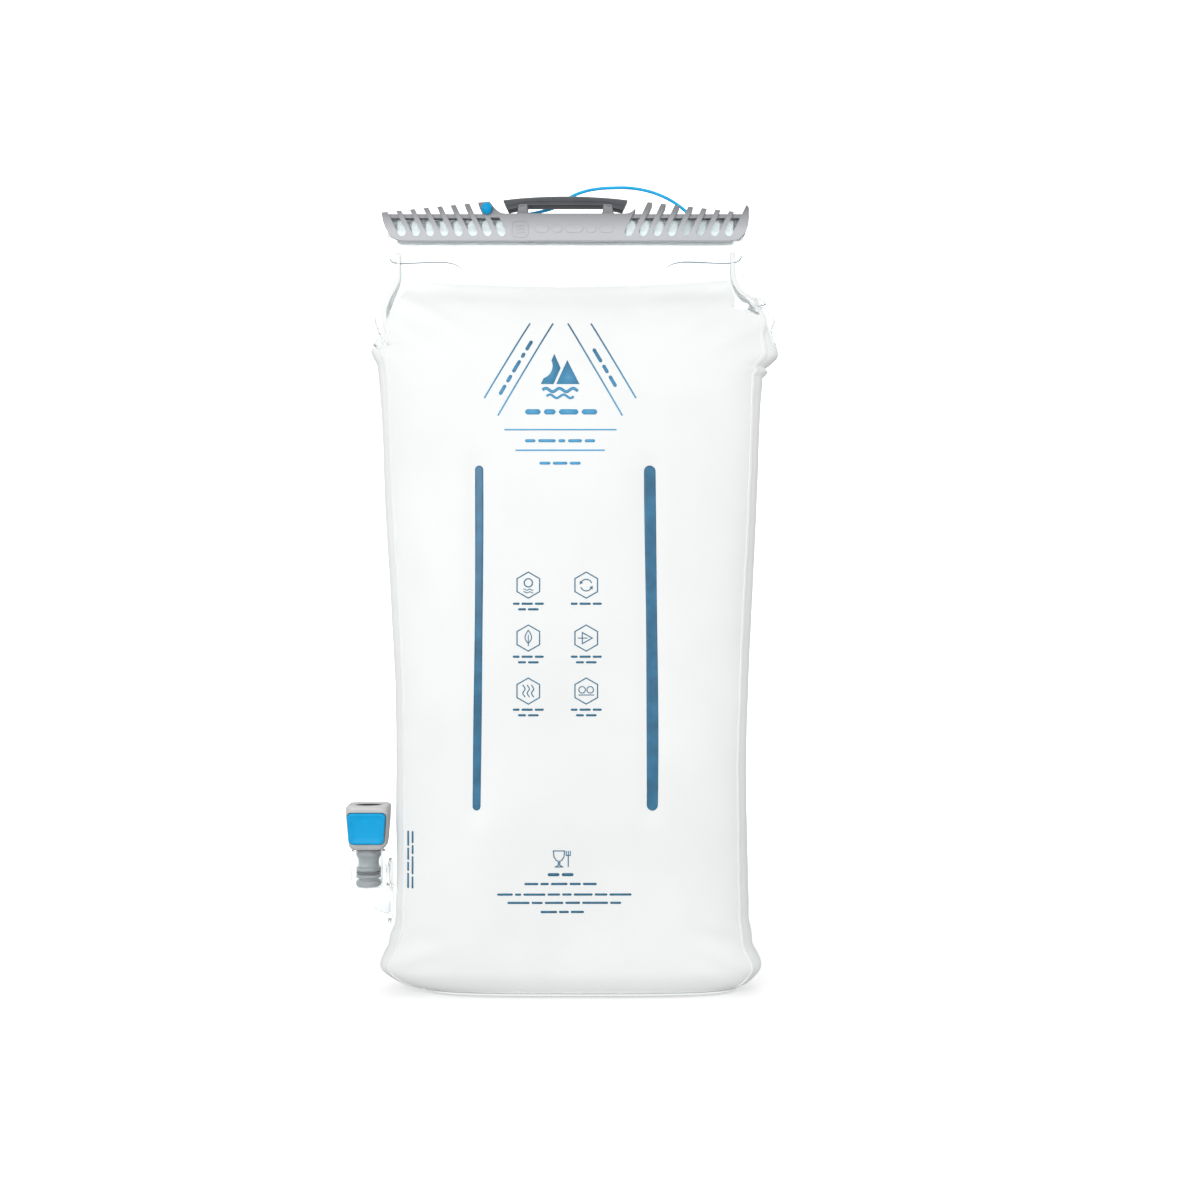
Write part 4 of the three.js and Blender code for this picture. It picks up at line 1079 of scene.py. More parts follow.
class BLADDER_OT_print(bpy.types.Operator):
    """Adds the emblem, rules, pictograms and rows of dashes printed on the front film"""

    bl_idname = "bladder.print"
    bl_label = "Print"

    def execute(self, context):
        self.emblem()
        self.rules()
        self.pictograms()
        self.notes()
        return {"FINISHED"}

    def emblem(self):
        """Two peaks over two waves."""
        x, z = PRINT_X, 303
        peaks = [
            [(-9.4, -4.4), (-2.9, 10.6), (0.2, 3.6), (-1.4, -0.2), (-3.2, -4.4)],
            [(-1.9, -4.4), (0.9, 1.9), (3.4, 7.6), (9.4, -4.4)],
        ]
        flats = [f for peak in peaks for f in filled([(x + a, z + b) for a, b in peak])]
        for low, width in ((-7.3, 1.5), (-10.4, 1.2)):
            reach = 8.6 if low > -8 else 6.6
            wave = [(x + a, z + low + 0.85 * math.sin((a + reach) * 0.95)) for a in
                    (-reach + 2 * reach * i / 24 for i in range(25))]
            flats += stroke(wave, width)
        printed("print_emblem", flats, print_ink())

    def rules(self):
        middle = PRINT_X
        flats = []
        for side in (-1, 1):
            flats += stroke([(middle + side * 3.6, 329.2), (middle + side * 30.2, 283.2)], 0.75)
            flats += stroke([(middle + side * 14.9, 329.2), (middle + side * 36.8, 291.8)], 0.75)
            slant = -side * math.atan2(329.2 - 283.2, 26.6)
            flats += dash_row(middle + side * 21.6, 306.8, 31 if side < 0 else 22, 1.7,
                              (4, 3, 5, 2, 4) if side < 0 else (5, 3, 4), 1.5, slant)
        flats += dash_row(middle + 0.5, 285, 35, 2.6, (4, 3, 5, 4), 1.6)
        flats += stroke([(middle - 27, 276.3), (middle + 27.4, 276.3)], 0.7)
        flats += dash_row(middle, 270.9, 34, 1.5, (3, 5, 2, 4, 3), 1.3)
        flats += stroke([(middle - 21.6, 266.3), (middle + 21.6, 266.3)], 0.7)
        flats += dash_row(middle, 260, 20, 1.4, (3, 4, 3), 1.1)
        printed("print_rules", flats, print_ink())

    def pictograms(self):
        flats = []
        for row, z in enumerate((200.9, 175.3, 149.7)):
            for column, x in enumerate((-17.4, 10.6)):
                flats += stroke(ring_points(x, z, 6.3, 6, math.pi / 2), 0.55, closed=True)
                flats += getattr(self, f"sign_{row}_{column}")(x, z)
                flats += dash_row(x, z - 9, 15, 1.05, (3, 5, 4), 0.9)
                if (row, column) != (0, 1):
                    flats += dash_row(x, z - 11.7, 10, 1.05, (3, 4), 0.9)
        printed("print_pictograms", flats, named_finish("note_ink"))

    def sign_0_0(self, x, z):
        """A closed ring over two waves: no leaks."""
        waves = []
        for low in (-2.2, -3.5):
            waves += stroke([(x + a, z + low + 0.3 * math.sin(2.4 * a))
                             for a in (i * 0.4 - 2.4 for i in range(13))], 0.4)
        return stroke(ring_points(x, z + 1.1, 2), 0.55, closed=True) + waves

    def sign_0_1(self, x, z):
        """Two arrows that turn round each other: reversible."""
        flats = []
        for start in (0.35, 0.35 + math.pi):
            arc = ring_points(x, z, 2.8, 10, start, 2.2)
            flats += stroke(arc, 0.5)
            tip, angle = Vector(arc[-1]), start + 2.2 + math.pi / 2
            along = Vector((math.cos(angle), math.sin(angle)))
            side = Vector((-math.sin(angle), math.cos(angle)))
            flats += filled([tuple(tip + along * 1.5), tuple(tip + side * 0.95), tuple(tip - side * 0.95)])
        return flats

    def sign_1_0(self, x, z):
        """A leaf."""
        edge = [(x + 1.9 * math.sin(math.pi * t) * (1 - 0.35 * t), z - 2.6 + 6.4 * t)
                for t in (i / 10 for i in range(11))]
        other = [(2 * x - a, b) for a, b in reversed(edge[1:-1])]
        return stroke(edge + other, 0.45, closed=True) + stroke([(x, z - 3.9), (x, z + 1.6)], 0.4)

    def sign_1_1(self, x, z):
        """A triangle that points to the right, over a line: quick connection."""
        return stroke([(x - 1.9, z - 2.7), (x - 1.9, z + 2.7), (x + 2.9, z)], 0.5, closed=True) + stroke(
            [(x - 4, z), (x + 0.6, z)], 0.45)

    def sign_2_0(self, x, z):
        """Three rising waves: heat."""
        flats = []
        for shift in (-2.1, 0, 2.1):
            flats += stroke([(x + shift + 0.55 * math.sin(1.5 * a), z + a)
                             for a in (i * 0.5 - 3 for i in range(13))], 0.5)
        return flats

    def sign_2_1(self, x, z):
        """Circles on a rack: the dishwasher's top shelf."""
        flats = stroke([(x - 3.8, z - 1.9), (x + 3.8, z - 1.9)], 0.45)
        for shift in (-2, 1.9):
            flats += stroke(ring_points(x + shift, z + 0.6, 1.6, 14), 0.45, closed=True)
        return flats

    def notes(self):
        x, z = -1.7, 68.4
        cup = [(-3.6, 4), (-3.3, 1), (-2.2, -0.6), (-1.2, -1), (-1.2, -3), (-2.8, -3.8), (1, -3.8),
               (-0.5, -3), (-0.5, -1), (0.4, -0.6), (1.5, 1), (1.8, 4)]
        flats = stroke([(x + a, z + b) for a, b in cup], 0.5, closed=True)
        flats += stroke([(x + 3.6, z + 4), (x + 3.6, z - 3.8)], 0.5)
        flats += stroke([(x + 2.6, z + 4), (x + 2.6, z + 1.8), (x + 4.6, z + 1.8), (x + 4.6, z + 4)], 0.45)
        flats += dash_row(NOTE_X, 60.9, 12.5, 1.5, (3, 3), 1.1)
        flats += dash_row(NOTE_X, 56.4, 35, 1.1, (5, 3, 6, 4, 5), 1)
        flats += dash_row(0, 51.3, 65, 1.05, (5, 2, 7, 4, 3, 6, 4, 7), 1)
        flats += dash_row(0, 47.3, 55, 1.05, (6, 3, 5, 4, 7, 3), 1)
        flats += dash_row(-1, 42.9, 21, 1.1, (5, 3, 4), 0.9)
        flats += dash_row(-76.5, 67, 28, 0.9, (5, 3, 4, 5), 0.9, math.pi / 2)
        flats += dash_row(-74.2, 67, 28, 0.9, (4, 6, 3, 4), 0.9, math.pi / 2)
        printed("print_notes", flats, named_finish("note_ink"))


# ---------------------------------------------------------------------------------------------
# Mouth rails and slide clip
# ---------------------------------------------------------------------------------------------


class BLADDER_OT_rails(bpy.types.Operator):
    """Finishes the two clear rails on the lips of the mouth"""

    bl_idname = "bladder.rails"
    bl_label = "Mouth Rails"

    def execute(self, context):
        for name in ("mouth_rail_front", "mouth_rail_back"):
            low, high = node_box(name)
            facing = 1 if low.y > 0 else -1
            inner, outer = sorted((low.y, high.y), key=abs)
            section = ((inner, low.z + 0.2), (inner + facing * 0.2, low.z),
                       (outer - facing * 0.35, low.z), (outer, low.z + 0.35), (outer, high.z - 0.7),
                       (outer - facing * 0.6, high.z), (inner + facing * 0.2, high.z),
                       (inner, high.z - 0.2))
            rings = [[Vector((x, y, z)) for y, z in section] for x in spaced(low.x, high.x, 6) + [high.x]]
            belongs(loft(f"{name}_bead", rings, named_finish("clear_moulding")), "bladder", "clear_plastic",
                    name)
        return {"FINISHED"}


class BLADDER_OT_clip(bpy.types.Operator):
    """Finishes the slotted clip that slides onto the mouth, with its raised mark"""

    bl_idname = "bladder.clip"
    bl_label = "Slide Clip"

    def execute(self, context):
        bevelled(shown_node("slide_clip", clip_plastic()), 0.3, 3, 30)
        self.mark()
        return {"FINISHED"}

    def mark(self):
        """Three waves in a rounded frame and a row of dashes, raised from the clip's front."""
        face = CLIP_LOW.y
        z = (CLIP_LOW.z + WEB_BOTTOM) / 2 + 0.2
        flats = []
        badge = rounded_rectangle(4, 4, 2.4, 5)
        flats += stroke([(MARK_X + p.x, z + p.y) for p in badge], 0.7, closed=True)
        for low in (-1.6, 0, 1.6):
            flats += stroke([(MARK_X + a, z + low + 0.4 * math.sin(1.9 * a))
                             for a in (i * 0.45 - 2.25 for i in range(11))], 0.55)
        flats += dash_row(4.4, z, 39, 3.6, (4, 3, 5, 3, 4), 1.6)
        piece = laid("clip_mark", flats, lambda x, z: Vector((x, face + 0.05, z)), clip_plastic(), "relief",
                     MARK_HEIGHT, smooth=False, merge=True)
        belongs(bevelled(piece, 0.12, 2, 40), "clip", "clip_plastic")


HANGER_REST = 389.9  # the flat underside of the handle's bar
HANDLE_ARCH = 1.8
HANDLE_END_DROP = 2.3
HANDLE_END_SLANT = 2.8
POST_X = 21.2
POST_WIDTH = 5.1
POST_DEPTH = 7.5
REST_END = POST_X - POST_WIDTH / 2


class BLADDER_OT_handle(bpy.types.Operator):
    """Adds the arched handle on its two posts"""

    bl_idname = "bladder.handle"
    bl_label = "Carry Handle"

    def execute(self, context):
        low, high = node_box("carry_handle")
        end, crown = high.x + 0.2, high.z
        depth = (high.y - low.y) / 2
        # Half of a level section: distance from the middle, and share of the way down.
        half = ((2.2, 0.02), (3.7, 0.12), (4.7, 0.3), (depth, 0.46), (depth - 0.05, 0.54), (4.8, 0.64),
                (4.5, 0.78), (4.5, 0.93), (4.3, 1))
        section = [(0, 0), *half, (1.5, 1), (-1.5, 1), *((-y, share) for y, share in reversed(half))]
        rings = []
        for i in range(57):
            place = -1 + i / 28
            outer = abs(place)
            top = crown - HANDLE_ARCH * place**2
            foot_x = place * (end - HANDLE_END_SLANT)
            drop = max(0, abs(foot_x) - REST_END) / (end - HANDLE_END_SLANT - REST_END)
            foot = HANGER_REST - HANDLE_END_DROP * drop
            narrow = 1 - 0.1 * step_between(0.75, 1, outer)
            rings.append([Vector((place * end + (foot_x - place * end) * share, y * narrow,
                                  top + (foot - top) * share))
                          for y, share in section])
        bar = loft("handle_bar", rings, named_finish("handle_plastic"))
        bevelled(bar, 0.4, 3, 34)
        belongs(bar, "clip", "handle_plastic", "carry_handle")
        for side, name in ((-1, "left"), (1, "right")):
            self.post(f"{name}_handle_post", side * POST_X, low.y)
        return {"FINISHED"}

    def post(self, name, x, front):
        """A post that flares out where it meets the clip."""
        foot = CLIP_WEB_TOP + 0.05
        middle_y = front + 0.8 + POST_DEPTH / 2
        rings = []
        for share, grow in ((0, 1.1), (0.1, 0.55), (0.25, 0.15), (0.5, 0), (0.85, 0.05), (1, 0.3)):
            z = foot + (HANGER_REST + 0.7 - foot) * share
            wide, deep = POST_WIDTH / 2 + grow, POST_DEPTH / 2 + 0.6 * grow
            rings.append([p + Vector((x, middle_y, z)) for p in rounded_rectangle(wide, deep, 0.9, 4)])
        post = loft(name, rings, post_plastic())
        belongs(bevelled(post, 0.15, 2, 50), "clip", "clip_plastic")


def post_plastic():
    return finish("post_plastic", shade(settings().clip_colour, 0.5), roughness=(0.36, 0.48), mottle=90,
                  grain=3000, grain_height=0.03)


# ---------------------------------------------------------------------------------------------
# Leash
# ---------------------------------------------------------------------------------------------

LEASH_DIAMETER = 1.6
LEASH_ROUTE = (
    (-38.9, -4.45, 387.9), (-38.9, 1, 387.9), (-38.9, 6.2, 387.9), (-37.6, 9.6, 387.9),
    (-34.4, 11.6, 388), (-30, 12.2, 388.1), (-24, 11.6, 388.4), (-18, 10.6, 389), (-12, 10.2, 390.2),
    (-6.5, 10.2, 391.8), (-1.5, 10.1, 394.6), (3.8, 10, 398.1), (10.6, 9.9, 400.5), (17.3, 9.8, 401.6),
    (24.1, 9.8, 402), (30.9, 9.8, 402), (37.6, 9.8, 401.2), (44.4, 9.9, 399.5), (51, 10.1, 396.8),
    (56.6, 10.4, 393.5), (60.9, 10.7, 390), (63.6, 10.9, 386.4), (64.6, 11, 382.6),
)


class BLADDER_OT_leash_cord(bpy.types.Operator):
    """Adds the leash cord from the clip's ball to the ferrule on the bag"""

    bl_idname = "bladder.leash_cord"
    bl_label = "Leash Cord"

    def execute(self, context):
        path = smooth_path([Vector(p) for p in LEASH_ROUTE], 8)
        cord = tube("leash_cord_smooth", path, LEASH_DIAMETER / 2, named_finish("cord_plastic"), sides=20)
        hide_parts("leash_cord")
        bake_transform(cord)
        return {"FINISHED"}


class BLADDER_OT_leash_ends(bpy.types.Operator):
    """Adds the leash's ball, ferrule and tab"""

    bl_idname = "bladder.leash_ends"
    bl_label = "Leash Ends"

    def execute(self, context):
        self.ball()
        self.ferrule()
        self.tab()
        return {"FINISHED"}

    def ball(self):
        """A slightly long ball that stands in its pocket."""
        middle = (BALL_LOW + BALL_HIGH) / 2
        radius = (BALL_HIGH - BALL_LOW).x / 2
        rings = []
        for i in range(25):
            turn = math.pi * (0.02 + 0.96 * i / 24)
            rings.append([middle + Vector((radius * 0.97 * math.sin(turn) * math.cos(a),
                                           -radius * math.cos(turn),
                                           radius * 1.08 * math.sin(turn) * math.sin(a)))
                          for a in (2 * math.pi * k / 40 for k in range(40))])
        belongs(loft("leash_ball_smooth", rings, named_finish("blue_plastic")), "clip", "blue_plastic",
                "leash_ball")

    def ferrule(self):
        x = (FERRULE_LOW.x + FERRULE_HIGH.x) / 2
        y = (FERRULE_LOW.y + FERRULE_HIGH.y) / 2
        low, high, radius = FERRULE_LOW.z, FERRULE_HIGH.z, (FERRULE_HIGH.x - FERRULE_LOW.x) / 2
        profile = [(0, low), (radius, low), (radius, low + 2.2), (radius - 0.35, low + 2.5),
                   (radius - 0.35, low + 3.1), (radius, low + 3.4), (radius, high - 1.4),
                   (radius - 0.5, high), (0.85, high), (0.85, high - 0.9), (0, high - 0.9)]
        piece = turned("leash_ferrule_turned", soften(profile, 0.25), x, named_finish("blue_plastic"),
                       sides=40)
        piece.data.transform(Matrix.Translation((0, y * MM, 0)))
        belongs(piece, "bladder", "blue_plastic", "leash_ferrule")

    def tab(self):
        """A tongue of film welded to the back panel, with a round top."""
        low, high = node_box("leash_tab")
        middle = (low.x + high.x) / 2
        half = (high.x - low.x) / 2
        outer = FERRULE_LOW.y - 0.3
        side_view = (
            (back_point(middle, low.z + 0.5).y + 0.35, low.z + 0.5),
            (back_point(middle, low.z + 5).y + 0.5, low.z + 5), (outer - 1.4, CLIP_LOW.z - 1.4),
            (outer - 0.45, CLIP_LOW.z + 1.6), (outer - 0.45, CLIP_LOW.z + 8), (outer - 0.45, high.z),
        )
        line = smooth_path([Vector((0, y, z)) for y, z in side_view], 6)
        rings = []
        total = len(line) - 1
        for i, point in enumerate(line):
            tangent = (line[min(i + 1, total)] - line[max(i - 1, 0)]).normalized()
            out = Vector((0, tangent.z, -tangent.y))
            from_end = min((line[i] - line[0]).length + 1.2, (line[-1] - line[i]).length + 1.2)
            wide = half * math.sqrt(max(0.05, 1 - max(0, 1 - from_end / (half * 0.8)) ** 2))
            ring = []
            for x, t in ((-1, 0.15), (-0.94, 0.42), (0.94, 0.42), (1, 0.15), (1, -0.15), (0.94, -0.42),
                         (-0.94, -0.42), (-1, -0.15)):
                ring.append(point + Vector((middle + wide * x, 0, 0)) + out * t)
            rings.append(ring)
        belongs(bevelled(loft("leash_tab_film", rings, named_finish("clear_film")), 0.1, 2, 60), "bladder",
                "clear_plastic", "leash_tab")


# ---------------------------------------------------------------------------------------------
# Port and coupling
# ---------------------------------------------------------------------------------------------

# Heights and sizes of the port and the coupling, in millimetres.
PORT_HEIGHT = 42.5
ELBOW_BEND = 11
ELBOW_RADIUS = 9.2
BORE_RADIUS = 5
STEM_BORE = 6.6
EYE_HEIGHT = 61.7
FLANGE_LOW = 30.2
FLANGE_HIGH = 64.8
FLANGE_HALF = 12
LATCH_LOW = 84.1
LATCH_HIGH = 85.9
SPRING_HEIGHT = 75.2
VALVE_DISC = 70.2
VALVE_SEAT = 72


class BLADDER_OT_elbow(bpy.types.Operator):
    """Adds the clear elbow with its oval flange and its rib"""

    bl_idname = "bladder.elbow"
    bl_label = "Port Elbow"

    def execute(self, context):
        bend, radius, port = ELBOW_BEND, ELBOW_RADIUS, PORT_HEIGHT
        face = ELBOW_HIGH.x
        top = ELBOW_HIGH.z
        down = [Vector((COUPLING_X, 0, z)) for z in spaced(top, port + bend, 1.5)]
        curve = [Vector((COUPLING_X + bend * (1 - math.cos(a)), 0, port + bend * (1 - math.sin(a))))
                 for a in (i * math.pi / 36 for i in range(18))]
        out = [Vector((x, 0, port)) for x in (COUPLING_X + bend, face - 0.9)]
        path = down + curve + out
        outer = [radius - 0.7, radius - 0.2] + [radius] * (len(path) - 2)
        skin = tube("port_elbow_clear", path, outer, named_finish("clear_moulding"), sides=48)
        inner = tube("bore", path[12:] + [Vector((face + 4, 0, port))], BORE_RADIUS, sides=40)
        bore = turned("stem_bore", [(0, STEM_LOW.z - 0.3), (STEM_BORE, STEM_LOW.z - 0.3),
                                    (STEM_BORE, top + 1), (0, top + 1)], COUPLING_X, sides=48)
        flange = self.flange(face)
        rib = box("rib", (COUPLING_X + radius - 1.2, -0.9, port + 5), (face - 1, 0.9, ELBOW_HIGH.z - 6.5))
        eye = tube("eye", [Vector((face - 2.4, y, EYE_HEIGHT)) for y in (-4, 4)], 0.55, sides=16)
        carved(skin, removed=(inner, bore, eye), added=(flange, rib))
        belongs(sharpened(skin, 38), "bladder", "clear_plastic", "port_elbow")
        return {"FINISHED"}

    def flange(self, face):
        """An oval plate with a soft edge, against the gusset."""
        middle, tall, wide = (FLANGE_LOW + FLANGE_HIGH) / 2, (FLANGE_HIGH - FLANGE_LOW) / 2, FLANGE_HALF
        rings = []
        for x, grow in ((face - 1.6, -0.9), (face - 1.35, -0.35), (face - 0.9, -0.05), (face, 0)):
            rings.append([Vector((x, (wide + grow) * math.cos(a), middle + (tall + grow) * math.sin(a)))
                          for a in (2 * math.pi * i / 64 for i in range(64))])
        return loft("flange", rings)


class BLADDER_OT_stem(bpy.types.Operator):
    """Adds the ringed stem, its sealing ring and the valve's retainer"""

    bl_idname = "bladder.stem"
    bl_label = "Coupling Stem"

    def execute(self, context):
        low, top = STEM_LOW.z, STEM_HIGH.z
        ledge = HOUSING_LOW.z - 0.3
        profile = [
            (3.9, low), (5.3, low), (6.25, low + 0.8), (6.3, low + 2.4), (5.9, low + 3.1),
            (4.9, low + 3.4), (4.8, low + 4.2), (6.15, low + 4.6), (6.2, low + 6), (5, low + 6.2),
            (5, low + 7.8), (6.2, low + 8), (6.15, low + 9.5), (5.4, low + 10), (5.1, low + 11.2),
            (5.1, low + 13.2), (5.5, low + 14.4), (6.2, low + 15.6), (6.3, low + 16.4), (6.3, ledge),
            (5.8, ledge), (5.8, top), (4.5, top), (2.4, VALVE_SEAT + 1.6), (2.4, VALVE_SEAT),
            (3.9, VALVE_SEAT),
        ]
        stem = turned("coupling_stem_turned", soften(profile, 0.3), COUPLING_X, named_finish("stem_plastic"),
                      sides=72)
        belongs(stem, "bladder", "stem_plastic", "coupling_stem")
        torus("stem_oring_smooth", 5.65, 0.55, low + 7, "stem_oring", "bladder", named_finish("seal_rubber"))
        bevelled(shown_node("valve_retainer", named_finish("stem_plastic")), 0.1, 2, 40)
        return {"FINISHED"}


def torus(name, major, minor, z, node, body, material, slot="seal_rubber"):
    rings = [[Vector((COUPLING_X, 0, z)) + Vector(((major + minor * math.cos(b)) * math.cos(a),
                                                  (major + minor * math.cos(b)) * math.sin(a),
                                                  minor * math.sin(b)))
              for b in (2 * math.pi * k / 16 for k in range(16))]
              for a in (2 * math.pi * i / 64 for i in range(64))]
    belongs(loft(name, rings, material, looped=True), body, slot, node)


class BLADDER_OT_housing(bpy.types.Operator):
    """Adds the coupling's housing with its socket, button pocket and sealing ring"""

    bl_idname = "bladder.housing"
    bl_label = "Coupling Housing"

    def execute(self, context):
        low, high = HOUSING_LOW.z, HOUSING_HIGH.z
        stations = (
            (low, 7.6, 7.4, 3), (low + 0.35, 8.1, 7.9, 3.2), (low + 1.5, 8.9, 8.9, 3.4),
            (low + 4, 9.4, 9.4, 3.4), (high - 8, 10.2, 10.2, 3.4), (high - 2, 10.5, 10.4, 3.4),
            (high - 0.9, 10.4, 10.3, 3.4), (high - 0.3, 10.1, 10, 3.2), (high, 9.6, 9.5, 3),
        )
        rings = [[p + Vector((COUPLING_X, 0, z)) for p in rounded_rectangle(wide, deep, corner, 10)]
                 for z, wide, deep, corner in stations]
        shell = loft("coupling_housing_shell", rings, named_finish("housing_plastic"))
        ledge = STEM_HIGH.z + 0.3
        groove = ledge + 2.6
        socket = turned("socket", [
            (0, low - 1), (6.1, low - 1), (6.1, ledge), (5, ledge), (5, groove), (6.5, groove),
            (6.5, groove + 2.2), (5, groove + 2.2), (5, high - 3.2), (5.6, high - 2.3), (7, high - 0.6),
            (7.6, high + 0.02), (7.6, high + 1), (0, high + 1),
        ], COUPLING_X, sides=64)
        pocket = button_block("pocket", 0.35, -20, -7.1)
        reach = BUTTON_HALF - 0.7
        latch_slot = box("latch_slot", (COUPLING_X - reach, -9, LATCH_LOW),
                         (COUPLING_X + reach, 8.9, LATCH_HIGH))
        springs = [tube("spring_hole", [Vector((COUPLING_X + side * (BUTTON_HALF - 3), y, SPRING_HEIGHT))
                                        for y in (-12, -5.5)], 2, sides=24)
                   for side in (-1, 1)]
        carved(shell, removed=(socket, pocket, latch_slot, *springs))
        sharpened(shell, 32)
        # Painted shade: the socket's inner wall, from the stem's ledge to just under the mouth, takes a
        # near-black finish for the shade inside the bore.
        shell.data.materials.append(named_finish("socket_liner"))
        for face in shell.data.polygons:
            middle = face.center / MM - Vector((COUPLING_X, 0, 0))
            if middle.z > ledge - 0.5 and middle.z < high - 0.7 and middle.xy.length < 7:
                face.material_index = 1
        belongs(shell, "bladder", "housing_plastic", "coupling_housing")
        torus("socket_oring_smooth", 5.6, 0.7, groove + 1.1, "socket_oring", "bladder",
              named_finish("seal_rubber"))
        return {"FINISHED"}


def button_outline(grow, height_low, height_high):
    """The button's outline in X and Z: wider at its top, with round corners."""
    top, foot, corner = BUTTON_HALF + grow, BUTTON_HALF - BUTTON_TAPER + grow, 2.3
    low, high = height_low - grow, height_high + grow
    corners = ((foot, low, -90), (top, high, 0), (-top, high, 90), (-foot, low, 180))
    points = []
    for x, z, start in corners:
        centre = (x - math.copysign(corner, x), z - corner if z == high else z + corner)
        for i in range(9):
            angle = math.radians(start + 90 * i / 8)
            points.append((centre[0] + corner * math.cos(angle), centre[1] + corner * math.sin(angle)))
    return points


def button_block(name, grow, y0, y1, *materials):
    outline = button_outline(grow, BUTTON_LOW.z, BUTTON_HIGH.z)
    return loft(name, [[Vector((COUPLING_X + x, y, z)) for x, z in outline] for y in (y0, y1)], *materials)


class BLADDER_OT_button(bpy.types.Operator):
    """Adds the push-button, the latch plate behind it and their springs"""

    bl_idname = "bladder.button"
    bl_label = "Release Button"

    def execute(self, context):
        front, back = BUTTON_LOW.y, BUTTON_HIGH.y
        outline = button_outline(0, BUTTON_LOW.z, BUTTON_HIGH.z)
        middle = Vector((0, (BUTTON_LOW.z + BUTTON_HIGH.z) / 2))
        rings = []
        for y, share in ((back, 0.985), (back - 0.25, 1), (front + 0.75, 1), (front + 0.35, 0.985),
                         (front + 0.1, 0.955), (front, 0.91), (front + 0.04, 0.84), (front + 0.26, 0.78),
                         (front + 0.36, 0.55), (front + 0.42, 0.25)):
            rings.append([Vector((COUPLING_X + middle.x + (x - middle.x) * share, y,
                                  middle.y + (z - middle.y) * share))
                          for x, z in outline])
        button = loft("release_button_cap", rings, named_finish("blue_plastic"))
        belongs(sharpened(button, 50), "button", "blue_plastic", "release_button")
        bevelled(shown_node("latch_plate", named_finish("spring_steel")), 0.12, 2, 40)
        for name in ("button_spring_left", "button_spring_right"):
            low, high = node_box(name)
            spring = coil(f"{name}_coil", 1.35, 0.25, high.y - low.y, 4.5, named_finish("spring_steel"))
            spring.data.transform(Matrix.Translation(Vector(((low.x + high.x) / 2, low.y,
                                                             (low.z + high.z) / 2)) * MM)
                                  @ Matrix.Rotation(-math.pi / 2, 4, "X"))
            belongs(spring, "bladder", "spring_steel", name)
            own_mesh(spring)
        return {"FINISHED"}


class BLADDER_OT_valve(bpy.types.Operator):
    """Adds the valve that shuts the coupling, with its seal and spring"""

    bl_idname = "bladder.valve"
    bl_label = "Valve"

    def execute(self, context):
        low, high = POPPET_LOW.z, POPPET_HIGH.z
        disc = VALVE_DISC
        profile = [(0, low), (1.6, low), (1.6, disc - 1.5), (3.3, disc - 1.5), (3.3, disc),
                   (1.2, disc + 0.1), (1.2, high - 0.5), (0.7, high), (0, high)]
        poppet = turned("valve_poppet_turned", soften(profile, 0.2), COUPLING_X,
                        named_finish("blue_plastic"), sides=48)
        belongs(poppet, "valve", "blue_plastic", "valve_poppet")
        torus("poppet_seal_smooth", 2.75, 0.55, disc + 0.9, "poppet_seal", "valve",
              named_finish("seal_rubber"))
        start, end = node_box("valve_spring")
        spring = coil("valve_spring_coil", 2.75, 0.3, end.z - start.z, 7, named_finish("spring_steel"), 26)
        spring.data.transform(Matrix.Translation(Vector((COUPLING_X, 0, start.z)) * MM))
        belongs(spring, "bladder", "spring_steel", "valve_spring")
        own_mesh(spring)
        return {"FINISHED"}


# ---------------------------------------------------------------------------------------------
# Stage
# ---------------------------------------------------------------------------------------------


def stage_paint():
    """Matt white that glows more the further it is from the middle, as a lit backdrop does."""
    material = finish("stage_paint", (0.9, 0.9, 0.9), roughness=(0.7, 0.8), variation=0.004, mottle=3,
                      grain=90, grain_height=0.01)
    nodes, links = material.node_tree.nodes, material.node_tree.links
    shader = nodes["Principled BSDF"]
    coordinates = nodes.new("ShaderNodeTexCoord")
    distance = nodes.new("ShaderNodeVectorMath")
    distance.operation = "LENGTH"
    glow = nodes.new("ShaderNodeMapRange")
    for socket, value in (("From Min", 0.15), ("From Max", 0.8), ("To Min", 0.26), ("To Max", 1.0)):
        glow.inputs[socket].default_value = value
    links.new(coordinates.outputs["Object"], distance.inputs[0])
    links.new(distance.outputs["Value"], glow.inputs["Value"])
    links.new(glow.outputs["Result"], shader.inputs["Emission Strength"])
    shader.inputs["Emission Color"].default_value = (1, 1, 1, 1)
    return material


def area_light(name, place, target, size, energy):
    light = bpy.data.lights.new(name, "AREA")
    light.shape = "RECTANGLE"
    light.size, light.size_y = size
    light.energy = energy
    lamp = bpy.data.objects.new(name, light)
    lamp.location = place
    lamp.rotation_euler = (Vector(target) - Vector(place)).to_track_quat("-Z", "Y").to_euler()
    bpy.context.scene.collection.objects.link(lamp)


# Name, place, aim, size and power of each lamp, in metres and watts.
LIGHTS = (
    ("key", (-0.5, -1.45, 0.6), (0, 0, 0.18), (1.1, 0.9), 12.9),
    ("fill", (0.8, -1.35, 0.3), (0, 0, 0.16), (1.0, 1.0), 4.3),
    ("top", (0, 0.1, 1.5), (0, 0, 0.2), (1.4, 0.9), 2.1),
    ("left", (-1.5, 0.2, 0.5), (0, 0, 0.2), (0.8, 1.2), 3.1),
    ("right", (1.5, 0.2, 0.5), (0, 0, 0.2), (0.8, 1.2), 2.1),
    ("back", (0, 1.2, 1.0), (0, 0, 0.25), (2.0, 1.2), 6.6),
)


